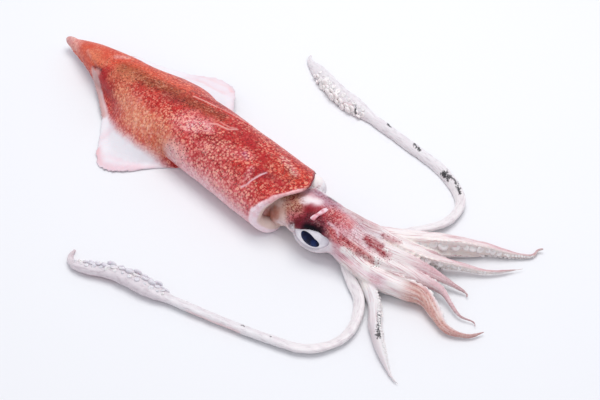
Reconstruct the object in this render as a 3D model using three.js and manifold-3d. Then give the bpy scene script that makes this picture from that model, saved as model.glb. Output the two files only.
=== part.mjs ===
// A whole raw long-finned squid, lying belly down: the mantle with its two fins, the head, eight arms and
// two long tentacles are one continuous piece of flesh. Each eyeball sits in a socket of the head, and its
// lens sits in the pupil. Millimetres, +Z up; the tail points along -X and the arms along +X.
import * as THREE from "three";
import { mergeVertices } from "three/addons/utils/BufferGeometryUtils.js";
import Module from "manifold-3d";

const wasm = await Module();
wasm.setup();

// ---------------------------------------------------------------- driving dimensions
const mantle = {
  length: 198, // tail tip to the sides of the mouth
  width: 46,
  height: 27,
  tailRoundness: 0.8, // height over width at the tail
  swell: 0.9, // how blunt the tail is: less is blunter
  bellyShare: 0.4, // part of the height that lies below the widest line
  fullAt: 0.7, // share of the length where the full width is reached
  tailLift: 6, // how high the tail tip is carried
  liftEnds: 0.42, // share of the length where the belly lies down
  tipHeight: 1.2, // of the very tip over the underside there
  wall: 4.4, // thickness of the muscle at the mouth
  mouthDepth: 24, // how far the mouth is open round the neck
  sides: 28,
  rings: 18,
  ringDensity: 1.25, // over 1 sets the rings closer at the tail
};
// How far the mouth's edge reaches past the mantle's length: a lobe over the neck, two points beside the
// funnel, and a slant from side to side. Angles run from the left over the top, in degrees.
const mouth = {
  lobe: { at: 93, reach: 13, width: 25 },
  points: [
    { at: 232, reach: 10, width: 25 },
    { at: 318, reach: 5, width: 28 },
  ],
  slant: 4.2,
  stretchFrom: 0.78, // share of the length where the mantle starts to follow the mouth's edge
};
const fin = {
  // outer edge of each fin, as distances from the tail tip and from the middle line
  outline: {
    right: [[7, 3.6], [20, 6.4], [34, 9.4], [50, 15.5], [67, 25], [80, 37], [91, 47], [99, 51],
      [106, 49.5], [113, 42], [120, 31], [131, 18]],
    left: [[7, 3.6], [18, 8], [29, 13.2], [40, 18.2], [50, 21.8], [58, 23.6], [66, 26], [76, 32.5], [86, 40.2],
      [94, 44], [101, 44.8], [107, 42.4], [114, 35.6], [122, 27], [131, 17]],
  },
  lift: { right: 0, left: 4.6 }, // how high each outer edge is carried
  tailLift: 4.6, // the edge follows the tail up
  liftFrom: 42,
  liftTo: 88,
  root: 0.5, // share of the mantle's half width where the fin leaves it
  rootSunk: 0.4,
  rootThickness: 4.2,
  edgeThickness: 1.1,
  drape: 0.8, // share of the span over which it comes down
  ripple: 0.9,
  waves: [0.2, 0.083], // radians in a millimetre of the ripple's two waves
  chordCells: 16,
  spanCells: 6,
};
const head = {
  // from inside the mouth to the crown of the arms
  route: [[174, 1, 12.6], [190, 1, 12.6], [203, 1, 12.6], [214, 1.4, 12.4], [226, 3, 12], [238, 5.6, 11.2],
    [249, 8.6, 9.6], [260, 11.8, 7.6], [270, 15, 6]],
  halfWidths: [8, 11, 13, 14, 13.4, 13.4, 13.4, 11.5, 7],
  halfHeights: [7.5, 9.4, 10.2, 10.8, 10.4, 9.6, 8.2, 6.4, 4.4],
  sides: 18,
  rings: 15,
};
const collar = { middle: [202.6, 14.6, 14.6], halfSizes: [5.6, 5, 6.4] }; // the neck's soft edge on the left
const flap = { middle: [222.8, -1.5, 22.3], length: 10.6, width: 2.3, thickness: 1.3, sag: 3.2 }; // torn skin
const eye = {
  right: [225.2, -6.6, 12.4], // middle of each eyeball
  left: [216, 7.4, 11.8],
  halfSizes: [10.4, 8.6, 6.4], // along the head, upwards, and outwards
  yaw: 16, // the head's turn to the left, in degrees
  lookUp: 10,
  socketWall: 1.3,
  socketGap: 0.35,
  opening: [10, 6, 5.2], // half sizes of the opening in the skin
  openingRoll: 10, // how much the front end of the opening is raised, in degrees
  pupil: [6.2, 3, 2.6],
  sides: 16,
  rings: 10,
};
const armShape = { height: 0.86, oralFlat: 0.62, keel: 0.14, sides: 8, rings: 14, tipDensity: 0.85 };
const tentacleShape = { height: 0.74, oralFlat: 0.9, keel: 0, sides: 8, rings: 38, tipDensity: 0.9 };
const armTaper = [1, 1, 0.98, 0.95, 0.88, 0.76, 0.6, 0.42, 0.28, 0.18, 0.08];
const clubSwell = [0.56, 0.8, 1, 1, 0.92, 0.84, 0.8, 0.66, 0.36, 0.12];
const sucker = {
  sides: 5,
  height: 0.7, // shares of a sucker's radius
  sunk: 0.9,
  armSize: 0.34, // radius as a share of the limb's half width
  clubSize: 0.2,
  armPairs: 5,
  armFrom: 0.34, // share of an arm's length where its suckers start
  armTo: 0.84,
  armSpread: 0.6, // angle of a row from the middle of the oral side, in radians
  clubRows: 4,
  clubRanks: 6,
  clubTo: 0.955,
  clubSpread: 1.25,
  stagger: 0.012, // how far one row is moved on from the next
  clearance: 0.05, // over the table
};

// Arms, in pairs from the back of the animal (1) to its belly (4). route holds the middle line from inside
// the crown to the tip, halfWidth is at the base, slow is how long the arm stays thick, and oral is the way
// the suckers face, in degrees about the arm: 0 is left, 90 up, 180 right and 270 down.
const arms = {
  left1: {
    halfWidth: 4.6,
    slow: 1,
    oral: 240,
    route: [[234, 9, 14], [247, 14, 13.6], [257, 19.6, 11.2], [265, 26, 7.6], [276.5, 41, 2.6],
      [288, 53, 1.6]],
  },
  left2: {
    halfWidth: 4.7,
    slow: 1,
    oral: 215,
    route: [[234, 13, 12.6], [248, 16, 13], [260.6, 18.6, 11.6], [274.1, 26.6, 7.6], [285.5, 36.4, 4.4],
      [297.3, 46, 2.5], [306.8, 61, 1.4]],
  },
  left3: {
    halfWidth: 6.5,
    slow: 1.3,
    oral: 205,
    route: [[235, 12, 8], [245, 17.8, 7.8], [261.5, 31.2, 6.9], [274.7, 44.3, 5.6], [286.2, 54.9, 3.8],
      [298.3, 64.5, 2.1], [304.2, 71.5, 1.3], [303.9, 76.2, 1.8], [305.6, 78.4, 2.6]],
  },
  left4: {
    halfWidth: 4.2,
    slow: 1,
    oral: 90,
    route: [[236, 9, 5.5], [250, 13, 4.6], [261, 17, 4.2], [270, 22, 3.8], [276.5, 31, 2.8],
      [273, 40, 1.8], [268, 41, 1.4]],
  },
  right1: {
    halfWidth: 4.6,
    slow: 1.7,
    oral: 265,
    route: [[234, 5, 14.6], [250, 7.6, 15], [261, 10.4, 13.6], [275.5, 18.2, 9.2], [290.2, 25, 3.9],
      [298.6, 27.2, 1.6], [300, 25.8, 1.3]],
  },
  right2: {
    halfWidth: 4.6,
    slow: 1,
    oral: 320,
    route: [[234, 1, 12.4], [249, 2.6, 13], [261, 5, 12], [277, 12, 8.6], [289.8, 17.4, 5.4],
      [297.9, 15.6, 3.7], [306, 13.9, 2.3], [312.7, 16.4, 1.4], [315.3, 14.6, 1.3]],
  },
  right3: {
    halfWidth: 6,
    slow: 1.4,
    oral: 345,
    route: [[235, -1, 8.4], [249, -2, 7.6], [262, -1.6, 7], [276, 3.4, 6.2], [287.4, 8.2, 5.3],
      [297.3, 5.5, 4.4], [307.1, 2.7, 3.1], [316.5, 7.7, 1.8], [320.4, 15.6, 1.8]],
  },
  right4: {
    halfWidth: 4.3,
    slow: 2.3,
    oral: 20,
    route: [[236, 3, 5], [256, -2.6, 4.2], [271.8, -10.2, 3.8], [282.9, -20.4, 3.3], [296.6, -30, 2.6],
      [308.3, -36.2, 1.5], [313.4, -37, 1.1]],
  },
};
// Tentacles: a stalk of even width and a broad club with four rows of suckers; clubFrom is the share of the
// length where the club starts.
const tentacles = {
  left: {
    stalk: 3,
    club: 5.6,
    clubFrom: 0.69,
    oral: 62,
    route: [[236, 10, 6], [250.5, 34, 4.6], [258.6, 57, 2.5], [253.8, 72.6, 2.2], [234, 82.6, 2.2],
      [203.6, 85, 2.2], [172.5, 86.1, 2.3], [149, 86.4, 2.8], [127.3, 91.6, 2.6], [111, 96.8, 1.6],
      [107.7, 100.6, 1.2]],
  },
  right: {
    stalk: 2.9,
    club: 5.5,
    clubFrom: 0.69,
    oral: 112,
    route: [[236, 0, 6], [253, -8.8, 3.4], [266, -15.4, 2.3], [275.6, -30, 2.2], [276.6, -41, 2.2],
      [270, -54.2, 2.2], [254, -63, 2.2], [228.1, -73.2, 2.2], [195.4, -84.6, 2.5], [172, -91.2, 2.7],
      [153.6, -101.8, 2.2], [147.8, -103.1, 1.8], [143.6, -101.2, 1.4], [141.4, -96.8, 1.2]],
  },
};

// ---------------------------------------------------------------- helpers
const up = new THREE.Vector3(0, 0, 1);
const smooth = THREE.MathUtils.smoothstep;
const lerp = THREE.MathUtils.lerp;
const radians = THREE.MathUtils.degToRad;

// The size at share t of a length, on a smooth curve through evenly spaced sizes.
function along(sizes, t) {
  const curve = new THREE.SplineCurve(sizes.map((size, i) => new THREE.Vector2(i, size)));
  return curve.getPoint(THREE.MathUtils.clamp(t, 0, 1)).y;
}

function routeCurve(route) {
  return new THREE.CatmullRomCurve3(route.map((point) => new THREE.Vector3(...point)), false, "centripetal");
}

// A closed body on the grid of a sphere. place(angle, row) gives a point: the angle runs once round, from
// the left over the top, and the row from 0 at one pole to rows at the other.
function gridBody(sides, rows, place) {
  const grid = new THREE.SphereGeometry(1, sides, rows);
  const { position, uv } = grid.attributes;
  for (let i = 0; i < position.count; i++) {
    const point = place(-2 * Math.PI * uv.getX(i), Math.round((1 - uv.getY(i)) * rows));
    position.setXYZ(i, point.x, point.y, point.z);
  }
  return grid;
}

// A geometry as a manifold-3d solid, and back.
function solid(geometry) {
  const bare = geometry.clone();
  bare.deleteAttribute("normal");
  bare.deleteAttribute("uv");
  const merged = mergeVertices(bare, 1e-4);
  return new wasm.Manifold(
    new wasm.Mesh({
      numProp: 3,
      vertProperties: merged.attributes.position.array,
      triVerts: new Uint32Array(merged.index.array),
    }),
  );
}

function geometryOf(body) {
  const { vertProperties, triVerts } = body.getMesh();
  const geometry = new THREE.BufferGeometry();
  geometry.setAttribute("position", new THREE.BufferAttribute(vertProperties, 3));
  geometry.setIndex(new THREE.BufferAttribute(triVerts, 1));
  geometry.computeVertexNormals();
  return geometry;
}

// ---------------------------------------------------------------- mantle
// Half width of the mantle at share s of its length.
function mantleHalfWidth(s) {
  return (mantle.width / 2) * Math.sin((Math.PI / 2) * Math.min(1, s / mantle.fullAt)) ** mantle.swell;
}

// Height of the belly over the table, and the reach of the section below and above its widest line.
function mantleHeights(s) {
  const roundness = lerp(mantle.tailRoundness, mantle.height / mantle.width, smooth(s, 0, 0.5));
  const height = 2 * mantleHalfWidth(s) * roundness;
  const lift = mantle.tailLift * (1 - smooth(s, 0, mantle.liftEnds));
  return { lift, below: height * mantle.bellyShare, above: height * (1 - mantle.bellyShare) };
}

// A point on the mantle's section at share s, drawn in by inset. The belly is flat where it lies.
function mantlePoint(x, s, angle, inset) {
  const { lift, below, above } = mantleHeights(s);
  const sine = Math.sin(angle);
  const cosine = Math.cos(angle);
  const bellyShape = -Math.min(1, 1.2 * Math.abs(sine) ** 0.85);
  const rise = sine > 0 ? (above - inset) * sine : (below - inset) * bellyShape;
  const aside = (mantleHalfWidth(s) - inset) * Math.sign(cosine) * Math.abs(cosine) ** 0.92;
  return new THREE.Vector3(x, aside, lift + below + rise);
}

// How far the mouth's edge reaches past the mantle's length.
function mouthReach(angle) {
  let reach = mouth.slant * Math.cos(angle);
  for (const bump of [mouth.lobe, ...mouth.points]) {
    const turn = THREE.MathUtils.euclideanModulo(THREE.MathUtils.radToDeg(angle) - bump.at + 180, 360) - 180;
    reach += bump.reach * Math.exp(-((turn / bump.width) ** 2));
  }
  return reach;
}

function mantleBody() {
  const rim = mantle.rings;
  // Rows inside the mouth: how much of the wall is drawn in, and where, past the rim or from the length.
  const inside = [
    { inset: 0.3, past: 0.9 },
    { inset: 0.75, past: -0.8 },
    { inset: 1, past: -6 },
    { inset: 1.05, from: -15 },
    { inset: 1.4, from: -mantle.mouthDepth },
  ];
  const rows = rim + inside.length + 1;
  const tip = mantleHeights(0);
  return gridBody(mantle.sides, rows, (angle, row) => {
    if (row === 0) return new THREE.Vector3(0, 0, tip.lift + mantle.tipHeight);
    if (row === rows) return new THREE.Vector3(mantle.length - mantle.mouthDepth, 0, mantle.height / 2);
    if (row <= rim) {
      const s = (row / rim) ** mantle.ringDensity;
      const stretch = mouthReach(angle) * smooth(s, mouth.stretchFrom, 1);
      return mantlePoint(mantle.length * s + stretch, s, angle, 0);
    }
    const { inset, past, from } = inside[row - rim - 1];
    const x = mantle.length + (past === undefined ? from : mouthReach(angle) + past);
    return mantlePoint(x, 1, angle, mantle.wall * inset);
  });
}

// ---------------------------------------------------------------- fins
// One fin: a plate that leaves the back beside the middle line, droops over the flank and spreads out.
function finBody(side) {
  const sign = side === "left" ? 1 : -1;
  const outline = new THREE.SplineCurve(fin.outline[side].map(([x, span]) => new THREE.Vector2(x, span)));
  const plate = new THREE.BoxGeometry(1, 1, 1, fin.chordCells, fin.spanCells, 1);
  const { position } = plate.attributes;
  for (let i = 0; i < position.count; i++) {
    const chord = position.getX(i) + 0.5;
    const out = 0.5 + sign * position.getY(i);
    const face = position.getZ(i) > 0 ? 1 : 0;
    const edge = outline.getPoint(chord);
    const s = edge.x / mantle.length;
    const { lift, below, above } = mantleHeights(s);
    const root = mantleHalfWidth(s) * fin.root;
    const top = lift + below + above * Math.sqrt(1 - fin.root ** 2) - fin.rootSunk;
    const y = lerp(root, Math.max(edge.y, root + 1.2), out);
    const raised = fin.lift[side] * smooth(edge.x, 30, 80);
    const rest = 0.1 + raised + fin.tailLift * (1 - smooth(edge.x, fin.liftFrom, fin.liftTo));
    const ends = Math.min(1, 0.35 + 4 * chord, 0.35 + 9 * (1 - chord));
    const thickness = lerp(fin.rootThickness, fin.edgeThickness, out ** 0.7) * ends;
    const wave = 1 + Math.sin(edge.x * fin.waves[0] + sign) * Math.sin(edge.x * fin.waves[1] + 2 * sign);
    const ripple = fin.ripple * out ** 2 * wave;
    const under = lerp(top - thickness, rest, smooth(out, 0, fin.drape)) + ripple;
    position.setXYZ(i, edge.x, sign * y, under + face * thickness);
  }
  return plate;
}

// ---------------------------------------------------------------- head and eyes
function headBody() {
  const curve = routeCurve(head.route);
  return gridBody(head.sides, head.rings, (angle, row) => {
    const t = row / head.rings;
    const centre = curve.getPoint(t);
    if (row === 0 || row === head.rings) return centre;
    const left = new THREE.Vector3().crossVectors(up, curve.getTangent(t)).normalize();
    const point = centre.addScaledVector(left, along(head.halfWidths, t) * Math.cos(angle));
    point.z = Math.max(0, point.z + along(head.halfHeights, t) * Math.sin(angle));
    return point;
  });
}

function ellipsoid(halfSizes, sides, rings) {
  return new THREE.SphereGeometry(1, sides, rings).rotateX(Math.PI / 2).scale(...halfSizes);
}

// A soft bump of the neck.
function collarBody() {
  return ellipsoid(collar.halfSizes, 12, 8).translate(...collar.middle);
}

// The torn strip lies across the head, with its ends bent down to the skin.
function flapBody() {
  const strip = new THREE.BoxGeometry(flap.width, flap.length, flap.thickness, 1, 4, 1);
  const { position } = strip.attributes;
  for (let i = 0; i < position.count; i++) {
    const share = position.getY(i) / flap.length;
    position.setZ(i, position.getZ(i) - flap.sag * share ** 2);
  }
  return strip.translate(...flap.middle);
}

// Where an eyeball sits: its middle, and its axes as columns (along the head, over the eye, out of it).
function eyePlace(side) {
  const yaw = radians(eye.yaw);
  const tilt = radians(eye.lookUp);
  const forward = new THREE.Vector3(Math.cos(yaw), Math.sin(yaw), 0);
  const aside = new THREE.Vector3(-Math.sin(yaw), Math.cos(yaw), 0).multiplyScalar(side === "left" ? 1 : -1);
  const outward = aside.multiplyScalar(Math.cos(tilt)).addScaledVector(up, Math.sin(tilt));
  const over = new THREE.Vector3().crossVectors(outward, forward);
  return new THREE.Matrix4().makeBasis(forward, over, outward).setPosition(...eye[side]);
}

// An ellipsoid on an eye's axes, rolled about the outward one, its middle moved outwards by shift.
function eyeShape(side, halfSizes, shift = 0, roll = 0) {
  const shape = ellipsoid(halfSizes, eye.sides, eye.rings).rotateZ(radians(roll)).translate(0, 0, shift);
  return solid(shape.applyMatrix4(eyePlace(side)));
}

const grown = (sizes, by) => sizes.map((size) => size + by);
const eyeFront = eye.halfSizes[2];

function eyeballBody(side) {
  return eyeShape(side, eye.halfSizes).subtract(eyeShape(side, grown(eye.pupil, eye.socketGap), eyeFront));
}

function lensBody(side) {
  return eyeShape(side, eye.pupil, eyeFront).intersect(eyeShape(side, eye.halfSizes));
}

// ---------------------------------------------------------------- arms and tentacles
function armLimb(arm) {
  const sizeAt = (t) => arm.halfWidth * along(armTaper, t ** arm.slow);
  return { ...arm, ...armShape, curve: routeCurve(arm.route), sizeAt };
}

function tentacleLimb(tentacle) {
  const { stalk, club, clubFrom } = tentacle;
  const sizeAt = (t) => {
    if (t < clubFrom) return lerp(stalk, club * clubSwell[0], t / clubFrom);
    return club * along(clubSwell, (t - clubFrom) / (1 - clubFrom));
  };
  return { ...tentacle, ...tentacleShape, curve: routeCurve(tentacle.route), sizeAt };
}

// A point on a limb's skin at share t of its length: at angle 0 on the side of the suckers, at 180 degrees
// on the keel. Nothing reaches below the table.
function limbPoint(limb, t, angle) {
  const tangent = limb.curve.getTangentAt(t);
  const left = new THREE.Vector3().crossVectors(up, tangent).normalize();
  const over = new THREE.Vector3().crossVectors(tangent, left);
  const turn = radians(limb.oral);
  const oral = left.clone().multiplyScalar(Math.cos(turn)).addScaledVector(over, Math.sin(turn));
  const across = left.clone().multiplyScalar(-Math.sin(turn)).addScaledVector(over, Math.cos(turn));
  const halfWidth = limb.sizeAt(t);
  const depth = halfWidth * limb.height * Math.cos(angle);
  const ridge = limb.keel * halfWidth * Math.max(0, -Math.cos(angle)) ** 6;
  const point = limb.curve.getPointAt(t).addScaledVector(across, halfWidth * Math.sin(angle));
  point.addScaledVector(oral, depth > 0 ? depth * limb.oralFlat : depth - ridge);
  point.z = Math.max(point.z, 0);
  return point;
}

function limbBody(limb) {
  return gridBody(limb.sides, limb.rings, (angle, row) => {
    const t = (row / limb.rings) ** limb.tipDensity;
    return row === 0 || row === limb.rings ? limb.curve.getPointAt(t) : limbPoint(limb, t, angle);
  });
}

// A sucker: a cup that widens to its rim, its foot sunk in the limb.
function suckerBody(limb, t, angle, radius) {
  const seat = limbPoint(limb, t, angle);
  const away = seat.clone().sub(limb.curve.getPointAt(t)).normalize();
  const profile = [
    new THREE.Vector2(0, -radius * sucker.sunk),
    new THREE.Vector2(radius, radius * sucker.height),
    new THREE.Vector2(0, radius * sucker.height),
  ];
  const cup = new THREE.LatheGeometry(profile, sucker.sides);
  cup.applyQuaternion(new THREE.Quaternion().setFromUnitVectors(new THREE.Vector3(0, 1, 0), away));
  // A sucker that would reach under the table is raised onto it.
  cup.computeBoundingBox();
  const lowest = seat.z + cup.boundingBox.min.z;
  return cup.translate(seat.x, seat.y, seat.z + Math.max(0, sucker.clearance - lowest));
}

// Two rows of suckers along an arm, that get smaller towards its tip.
function armSuckers(limb) {
  const cups = [];
  for (let i = 0; i < sucker.armPairs; i++) {
    const t = lerp(sucker.armFrom, sucker.armTo, i / (sucker.armPairs - 1));
    const radius = sucker.armSize * limb.sizeAt(t);
    for (const row of [-1, 1]) {
      cups.push(suckerBody(limb, t + row * sucker.stagger, row * sucker.armSpread, radius));
    }
  }
  return cups;
}

// Four rows on a club, with the larger suckers in the middle.
function clubSuckers(limb) {
  const cups = [];
  for (let rank = 0; rank < sucker.clubRanks; rank++) {
    const t = lerp(limb.clubFrom + 0.035, sucker.clubTo, rank / (sucker.clubRanks - 1));
    for (let row = 0; row < sucker.clubRows; row++) {
      const place = (2 * row) / (sucker.clubRows - 1) - 1;
      const radius = sucker.clubSize * limb.sizeAt(t) * (1.25 - Math.abs(place) / 2);
      cups.push(suckerBody(limb, t + (row % 2) * sucker.stagger, place * sucker.clubSpread, radius));
    }
  }
  return cups;
}

// ---------------------------------------------------------------- the flesh
function fleshBody() {
  const limbs = [...Object.values(arms).map(armLimb), ...Object.values(tentacles).map(tentacleLimb)];
  const pieces = [mantleBody(), finBody("left"), finBody("right"), headBody(), collarBody(), flapBody()];
  for (const limb of limbs) {
    pieces.push(limbBody(limb), ...(limb.clubFrom ? clubSuckers(limb) : armSuckers(limb)));
  }
  let flesh = pieces.map(solid).reduce((whole, piece) => whole.add(piece));
  for (const side of ["left", "right"]) {
    flesh = flesh.add(eyeShape(side, grown(eye.halfSizes, eye.socketWall)));
    flesh = flesh.subtract(eyeShape(side, grown(eye.halfSizes, eye.socketGap)));
    flesh = flesh.subtract(eyeShape(side, eye.opening, eyeFront, eye.openingRoll));
  }
  // Crossing limbs can shut in small hollows: these are filled by keeping the outer body alone.
  return flesh.decompose().reduce((largest, body) => (body.volume() > largest.volume() ? body : largest));
}

const skin = new THREE.MeshStandardMaterial({ color: 0xc4574a, roughness: 0.38, metalness: 0 });
const eyeWhite = new THREE.MeshStandardMaterial({ color: 0xd9dcdb, roughness: 0.2, metalness: 0 });
const lensDark = new THREE.MeshStandardMaterial({ color: 0x0b1730, roughness: 0.08, metalness: 0 });

const squid = new THREE.Group();
function add(name, body, material) {
  const mesh = new THREE.Mesh(geometryOf(body), material);
  mesh.name = name;
  squid.add(mesh);
}
add("flesh", fleshBody(), skin);
for (const side of ["right", "left"]) {
  add("eyeball_" + side, eyeballBody(side), eyeWhite);
  add("lens_" + side, lensBody(side), lensDark);
}

// The origin is under the middle of the bounding box, on the surface the squid lies on.
const box = new THREE.Box3().setFromObject(squid);
squid.position.set(-(box.min.x + box.max.x) / 2, -(box.min.y + box.max.y) / 2, -box.min.z);

export default squid;
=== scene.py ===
import math

import bmesh
import bpy
import numpy as np
from mathutils import Matrix, Vector, kdtree, noise


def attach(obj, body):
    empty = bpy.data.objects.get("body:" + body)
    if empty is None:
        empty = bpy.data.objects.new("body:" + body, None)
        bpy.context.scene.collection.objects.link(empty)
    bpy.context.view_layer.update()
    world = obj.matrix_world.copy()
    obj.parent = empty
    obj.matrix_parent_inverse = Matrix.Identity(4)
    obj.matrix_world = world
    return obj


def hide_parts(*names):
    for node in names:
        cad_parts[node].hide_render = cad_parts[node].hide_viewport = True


# A whole raw squid, belly down. Shapes are worked out in millimetres from the tail tip (x to the mouth,
# y to the animal's left, z up) and put into the frame's metres at the end.
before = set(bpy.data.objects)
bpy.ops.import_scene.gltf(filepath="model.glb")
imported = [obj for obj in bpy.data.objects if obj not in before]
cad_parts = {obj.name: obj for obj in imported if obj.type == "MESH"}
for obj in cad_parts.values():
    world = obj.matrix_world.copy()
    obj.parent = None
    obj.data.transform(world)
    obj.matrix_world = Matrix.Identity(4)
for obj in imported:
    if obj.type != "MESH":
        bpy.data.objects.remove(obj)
noise.seed_set(4)  # fixes the offset of the noise vectors
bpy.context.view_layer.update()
tailTip = np.array([-160.2, 2.4816, 0.0])  # the tail tip's place in the frame, in millimetres
clearance = 0.05  # over the table
print("frame loaded")


def smooth(value, low, high):
    share = np.clip((np.asarray(value, float) - low) / (high - low), 0, 1)
    return share * share * (3 - 2 * share)


def lerp(a, b, share):
    return a + (b - a) * share


def unit(vectors):
    return vectors / np.maximum(np.linalg.norm(vectors, axis=-1, keepdims=True), 1e-9)


def cubic(b, c, slopeB, slopeC, part):  # the smooth piece from b to c that has those slopes at its ends
    return (b + slopeB * part + (3 * (c - b) - 2 * slopeB - slopeC) * part ** 2
            + (2 * (b - c) + slopeB + slopeC) * part ** 3)


def sizeAlong(sizes, share):  # a smooth curve through evenly spaced sizes
    sizes = np.array(sizes, float)
    last = len(sizes) - 1
    place = np.clip(share, 0, 1) * last
    step = np.minimum(place.astype(int), last - 1)
    part = place - step
    if sizes.ndim > 1:
        part = part[:, None]
    a, b, c, d = (sizes[np.clip(step + k, 0, last)] for k in (-1, 0, 1, 2))
    return cubic(b, c, (c - a) / 2, (d - b) / 2, part)


def routeAt(route, share):  # centripetal curve through the points of a route
    points = np.array(route, float)
    last = len(points) - 1
    points = np.vstack([2 * points[0] - points[1], points, 2 * points[-1] - points[-2]])
    place = np.clip(share, 0, 1) * last
    step = np.minimum(place.astype(int), last - 1)
    part = (place - step)[:, None]
    a, b, c, d = (points[step + k] for k in range(4))
    ab, bc, cd = (np.sqrt(np.linalg.norm(q - p, axis=1))[:, None] for p, q in ((a, b), (b, c), (c, d)))
    slopeB = ((b - a) / ab - (c - a) / (ab + bc) + (c - b) / bc) * bc
    slopeC = ((c - b) / bc - (d - b) / (bc + cd) + (d - c) / cd) * bc
    return cubic(b, c, slopeB, slopeC, part)


def noiseAt(points, size, seed):  # -1 to 1, in lumps of that size
    moved = points / size + seed * 17.3
    return np.array([noise.noise(Vector(p)) for p in moved])


def noiseVectors(points, size, seed):
    moved = points / size + seed * 17.3
    return np.array([noise.noise_vector(Vector(p)) for p in moved])


def sheet(columns, rows, shape):  # a grid laid out by shape(u, v); its seam and poles are merged
    bm = bmesh.new()
    bmesh.ops.create_grid(bm, x_segments=columns, y_segments=rows, size=0.5)
    spots = np.array([v.co for v in bm.verts]) + 0.5
    for v, place in zip(bm.verts, shape(spots[:, 0], spots[:, 1])):
        v.co = place
    bmesh.ops.remove_doubles(bm, verts=bm.verts, dist=0.004)
    bmesh.ops.recalc_face_normals(bm, faces=bm.faces)
    return bm


def joined(bodies):  # several meshes in one, still apart from each other
    whole = bmesh.new()
    for bm in bodies:
        part = bpy.data.meshes.new("part")
        bm.to_mesh(part)
        bm.free()
        whole.from_mesh(part)
        bpy.data.meshes.remove(part)
    return whole


def pieceFrom(name, bm):
    mesh = bpy.data.meshes.new(name)
    bm.to_mesh(mesh)
    bm.free()
    piece = bpy.data.objects.new(name, mesh)
    bpy.context.scene.collection.objects.link(piece)
    return piece


def ballBody(halfSizes, place=None, middle=(0, 0, 0), columns=40, rows=24):
    bm = bmesh.new()
    bmesh.ops.create_uvsphere(bm, u_segments=columns, v_segments=rows, radius=1)
    bmesh.ops.scale(bm, vec=halfSizes, verts=bm.verts)
    if place is not None:
        bmesh.ops.transform(bm, matrix=place, verts=bm.verts)
    bmesh.ops.translate(bm, vec=middle, verts=bm.verts)
    return bm


def melted(piece, voxel, rounds):  # one skin over all the bodies of a piece
    remesh = piece.modifiers.new("skin", "REMESH")
    remesh.mode = "VOXEL"
    remesh.voxel_size = voxel
    soften = piece.modifiers.new("soften", "SMOOTH")
    soften.factor = 0.5
    soften.iterations = rounds
    bpy.context.view_layer.update()
    shown = piece.evaluated_get(bpy.context.evaluated_depsgraph_get())
    made = bpy.data.meshes.new_from_object(shown)
    old = piece.data
    piece.modifiers.clear()
    piece.data = made
    made.name = piece.name
    bpy.data.meshes.remove(old)


def pointsOf(piece):
    found = np.empty(len(piece.data.vertices) * 3, np.float32)
    piece.data.vertices.foreach_get("co", found)
    return found.reshape(-1, 3).astype(float)


def setPoints(piece, points):
    piece.data.vertices.foreach_set("co", points.astype(np.float32).ravel())
    piece.data.update()


def normalsOf(piece):
    found = np.empty(len(piece.data.vertices) * 3, np.float32)
    piece.data.vertex_normals.foreach_get("vector", found)
    return found.reshape(-1, 3).astype(float)


def towards(angle, degrees, low, high):  # 1 where the angle points that way, by its cosine's low and high
    return smooth(np.cos(angle - math.radians(degrees)), low, high)


def nearLine(points, line, radius, soft, stray=None):  # 1 on the line, 0 past its radius
    if stray is not None:
        points = points + stray * min(1, radius / 5)
    line = np.atleast_2d(np.array(line, float))
    nearest = np.linalg.norm(points - line[0], axis=1)
    for a, b in zip(line[:-1], line[1:]):
        share = np.clip((points - a) @ (b - a) / max((b - a) @ (b - a), 1e-9), 0, 1)
        nearest = np.minimum(nearest, np.linalg.norm(points - a - share[:, None] * (b - a), axis=1))
    return 1 - smooth(nearest, radius * (1 - soft), radius * (1 + soft))


def colour(code):  # "rrggbb" as the eye sees it, to linear light
    shown = np.array([int(code[i:i + 2], 16) / 255 for i in (0, 2, 4)])
    return np.where(shown < 0.04045, shown / 12.92, ((shown + 0.055) / 1.055) ** 2.4)


def opaque(code):  # the same, for a colour socket
    return (*colour(code), 1)


def blendTo(tint, code, mask):
    return tint + (colour(code) - tint) * np.clip(mask, 0, 1)[:, None]


def attribute(piece, name, values):
    layer = piece.data.attributes.new(name, "FLOAT_COLOR", "POINT")
    full = np.ones((len(values), 4), np.float32)
    full[:, :3] = np.clip(values, 0, 1)
    layer.data.foreach_set("color", full.ravel())


def flowAttribute(piece, vectors):  # millimetres across and along, for strands that follow the flesh
    layer = piece.data.attributes.new("flow", "FLOAT_VECTOR", "POINT")
    layer.data.foreach_set("vector", vectors.astype(np.float32).ravel())


def finished(piece, material):  # into the frame's metres, with its material
    setPoints(piece, (pointsOf(piece) + tailTip) / 1000)
    piece.data.polygons.foreach_set("use_smooth", [True] * len(piece.data.polygons))
    piece.data.materials.clear()
    piece.data.materials.append(material)
    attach(piece, "root")


mantle = {
    "length": 198,
    "width": 46,
    "height": 27,
    "tailRoundness": 0.8,
    "swell": 0.9,
    "bellyShare": 0.4,
    "fullAt": 0.7,
    "flatBelly": (1.2, 0.85),
    "fullSides": 0.92,
    "tailLift": 6,
    "liftEnds": 0.42,
    "tipHeight": 1.2,
    "wall": 8.4,
    "mouthDepth": 24,
    # how far the rim reaches past the length, every 20 degrees round from the left over the top
    "rim": (-1, -2.5, 1, 6, 10, 7.5, 2.5, -1.5, -3.5, -3.5, -2, 0.5, 1.5, 0, 0, 2.5, 4, 2.5),
    "thinWall": 1.5,
    "stretchFrom": 0.78,
    "lumps": 0.28,
    "tipBall": ((9.2, -0.5, 7.2), (8.9, 3.5, 3.2)),  # rounds off the tail: middle, half sizes
    "columns": 168,
    "skinRows": 200,
    "rowCrowding": 1.25,  # the rows stand closer towards the tail
    "wallRows": 44,
    "lipShare": 0.3,  # the share of the wall's rows that go over the rim
    "voxel": 0.62,
}


def mantleHalfWidth(s):
    return mantle["width"] / 2 * np.sin(np.pi / 2 * np.clip(s / mantle["fullAt"], 0, 1)) ** mantle["swell"]


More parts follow.
